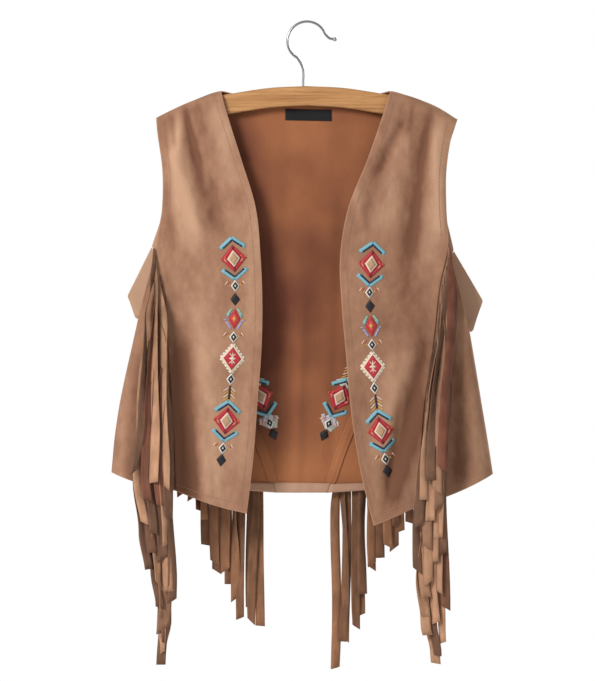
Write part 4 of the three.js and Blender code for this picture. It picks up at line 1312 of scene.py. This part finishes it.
def chevron(at, down):
    return (pair(0, at, 15.5, at + 12.1 * down, 5, "turquoise")
            + pair(0, at + 2.6 * down, 11.8, at + 11.8 * down, 2.1, "navy", 1))


def red_diamond(at):
    patches = diamond(at, 32, 34, "red", 1) + diamond(at, 20.5, 26, "dark_red", 2)
    patches += diamond(at, 19.5, 24.5, "red", 3)
    patches += diamond(at - 13.5, 4, 5.5, "dark_red", 4) + diamond(at + 13.5, 4, 5.5, "dark_red", 4)
    patches += pair(8.6, at - 4, 11.6, at, 1.8, "orange", 4) + pair(11.6, at, 8.6, at + 4, 1.8, "salmon", 4)
    patches += pair(13.5, at - 2.5, 15.5, at, 1.5, "orange", 4)
    return patches + diamond(at, 15.5, 21, "cream", 4) + diamond(at, 11.5, 16, "tan", 5)


def small_diamond(at, sprigs=True):
    patches = diamond(at, 11, 15, "white", 1) + diamond(at, 7.6, 10.6, "black", 2)
    patches += diamond(at, 2.2, 3.4, "white", 3)
    if sprigs:
        patches += pair(6.5, at - 5.5, 9.5, at - 2, 1.2, "orange")
        patches += pair(9, at - 6, 12.5, at - 1.5, 1.1, "cream")
        patches += pair(5.8, at - 2.5, 7.6, at + 1, 1, "yellow")
    return patches


def black_diamond(at):
    return diamond(at, 12, 16, "black", 1) + stroke(0.6, at - 3.5, 1.8, at + 1.5, 0.9, "navy", 2)


def bracketed_diamond(at):
    patches = diamond(at, 15, 25.5, "red", 1) + diamond(at, 8, 14, "orange", 2)
    patches += diamond(at, 4.2, 6, "yellow", 3)
    patches += pair(3.5, at - 12.5, 9.5, at - 4, 2.2, "mint") + pair(9.5, at + 3, 4, at + 12.5, 2.2, "lilac")
    patches += pair(5.5, at - 7.5, 9.2, at - 1.5, 1.6, "turquoise", 1)
    return patches + pair(9, at + 2, 13, at + 1, 1.4, "lilac")


def bordered_diamond(at):
    patches = diamond(at, 29, 36, "cream", 1)
    for i in range(5):
        along = (i + 0.5) / 5
        for t, s in ((lerp(0, 14.5, along), lerp(-18, 0, along)), (lerp(14.5, 0, along), lerp(0, 18, along))):
            patches += diamond(at + s, 5.4, 5.4, "cream", 0, t) + diamond(at + s, 5.4, 5.4, "cream", 0, -t)
    patches += diamond(at, 22, 29, "red", 2)
    patches += diamond(at, 3.4, 17, "cream", 3) + diamond(at, 9.5, 4.4, "cream", 3)
    patches += pair(1, at - 3.5, 3.6, at - 6, 1.1, "cream", 3)
    return patches + pair(1, at + 3.5, 3.6, at + 6, 1.1, "cream", 3)


def arrow(at):
    patches = stroke(0, at - 8, 0, at + 8, 2.2, "black", 1)
    for step, thread in ((-5, "cream"), (-1, "yellow"), (3, "cream"), (7, "yellow")):
        patches += pair(1.5, at + step - 1, 7.5, at + step + 4, 1.1, thread)
    return patches


CHAIN = (
    chevron(0, 1) + red_diamond(25.5) + chevron(50.5, -1) + small_diamond(59) + black_diamond(75.5)
    + bracketed_diamond(99.5) + small_diamond(122) + bordered_diamond(148.5) + small_diamond(174, False)
    + arrow(190) + chevron(201, 1) + red_diamond(224.5) + chevron(249, -1) + small_diamond(258.5)
    + black_diamond(273)
)
# On the wrong side the thread that crosses between the figures shows as pale ragged patches
BOBBIN_PATCHES = (
    diamond(57, 23, 22, "pale_lilac", -1) + diamond(121, 20, 20, "pale_lilac", -1)
    + diamond(206, 25, 17, "pale_mint", -1) + diamond(256, 25, 23, "pale_lilac", -1)
    + stroke(-11, 250, -3, 262, 5, "pale_lilac", -1) + stroke(10, 252, 4, 266, 6, "pale_mint", -1)
)
PATCH_LIFT = 0.45
LEVEL_LIFT = 0.16
PATCH_THICKNESS = 0.35


def chain_point(line, t, s):
    share = min(1, max(0, s / CHAIN_LENGTH))
    here = line(share)
    ahead = (line(min(1, share + 0.02)) - line(max(0, share - 0.02))).normalized()
    past = s - min(CHAIN_LENGTH, max(0, s))
    return here + Vector((-ahead.y, ahead.x)) * t + ahead * past


def add_patch(bm, line, layer, outward, corners, level, material_index):
    flat = [chain_point(line, t, s) for t, s in corners]
    width = (flat[1] - flat[0]).length
    height = (flat[3] - flat[0]).length

    def place(u, v):
        x, z = lerp(lerp(flat[0], flat[1], u), lerp(flat[3], flat[2], u), v)
        slope_x = (layer(x + 1, z) - layer(x - 1, z)) / 2
        slope_z = (layer(x, z + 1) - layer(x, z - 1)) / 2
        normal = Vector((-slope_x, 1, -slope_z)).normalized() * outward
        return Vector((x, layer(x, z), z)) + normal * (PATCH_LIFT + LEVEL_LIFT * level)

    columns, rows = max(1, round(width / 3)), max(1, round(height / 3))
    faces = add_surface(bm, columns, rows, place, uv_size=(width, height), out=Vector((0, outward, 0)))
    for face in faces:
        face.material_index = material_index


def add_chain(name, points, layer, outward, patches=CHAIN):
    line = smooth_line(points)
    bm = bmesh.new()
    for corners, thread, level in patches:
        add_patch(bm, line, layer, outward, corners, level, list(THREADS).index(thread))
    chain = finish_piece(bm, name, list(rayons.values()))
    thicken(chain, "thread_thickness", PATCH_THICKNESS, -1)


for side in ("left", "right"):
    add_chain(f"embroidery_front_{side}", CHAINS[f"front_{side}"], front_y, -1)
    add_chain(f"embroidery_back_{side}", CHAINS[f"back_{side}"], back_y, 1)
    add_chain(f"embroidery_inside_{side}", CHAINS[f"back_{side}"], lambda x, z: back_y(x, z) - CLOTH, -1,
              BOBBIN_PATCHES + CHAIN)

# Studio
# A pale floor well below the vest, a near-white room and large soft lights: the key from the
# upper left in front, as the shadows show.

FLOOR_RADIUS = 1.5
FLOOR_Z = -1.05
VEST_MIDDLE = (0, 0, -0.4)


def pale_floor():
    material, tree, shader = new_material("pale_floor", Roughness=0.8)
    place = add_node(tree, "ShaderNodeTexCoord").outputs["Object"]
    clouds = add_node(tree, "ShaderNodeTexNoise", {"Scale": 3}, {"Vector": place})
    colour = add_node(tree, "ShaderNodeMix", {"data_type": "RGBA", 6: linear("#E9E8E6"), 7: linear("#F1F0EE")},
                      {0: clouds.outputs[0]})
    tree.links.new(colour.outputs[2], shader.inputs["Base Color"])
    return material


bm = bmesh.new()
bmesh.ops.create_circle(bm, cap_ends=True, radius=FLOOR_RADIUS, segments=96)
bmesh.ops.translate(bm, vec=(0, 0, FLOOR_Z), verts=bm.verts)
floor_mesh = bpy.data.meshes.new("floor")
bm.to_mesh(floor_mesh)
bm.free()
floor_mesh.materials.append(pale_floor())
floor = bpy.data.objects.new("floor", floor_mesh)
bpy.context.scene.collection.objects.link(floor)

world = bpy.data.worlds.new("bright_room")
world.use_nodes = True
room = world.node_tree
seen = add_node(room, "ShaderNodeLightPath")
strength = add_node(room, "ShaderNodeMapRange", {"To Min": 0.38, "To Max": 1},
                    {"Value": seen.outputs["Is Camera Ray"]})
room.nodes["Background"].inputs["Color"].default_value = (1, 1, 1, 1)
room.links.new(strength.outputs[0], room.nodes["Background"].inputs["Strength"])
bpy.context.scene.world = world
bpy.context.scene.view_settings.view_transform = "Standard"


def soft_light(name, place, aim, size, power):
    light = bpy.data.lights.new(name, "AREA")
    light.shape = "DISK"
    light.size = size
    light.energy = power
    lamp = bpy.data.objects.new(name, light)
    lamp.location = place
    lamp.rotation_euler = (Vector(aim) - Vector(place)).to_track_quat("-Z", "Y").to_euler()
    bpy.context.scene.collection.objects.link(lamp)


soft_light("key", (-1.25, -1.5, 0.6), VEST_MIDDLE, 0.75, 38)
soft_light("fill", (2.2, -2.2, -0.2), VEST_MIDDLE, 1.6, 9)
soft_light("back_fill", (1.4, 2.2, 0.6), VEST_MIDDLE, 1.4, 42)

CAMERA_DISTANCE = 5
VIEW_CENTRE = (-0.008, -0.391)
VIEW_HEIGHT = 0.838
camera_data = bpy.data.cameras.new("camera")
camera_data.lens = camera_data.sensor_width * CAMERA_DISTANCE / VIEW_HEIGHT
camera_data.clip_end = 50
camera = bpy.data.objects.new("camera", camera_data)
camera.location = (VIEW_CENTRE[0], -CAMERA_DISTANCE, VIEW_CENTRE[1])
camera.rotation_euler = (math.pi / 2, 0, 0)
bpy.context.scene.collection.objects.link(camera)
bpy.context.scene.camera = camera
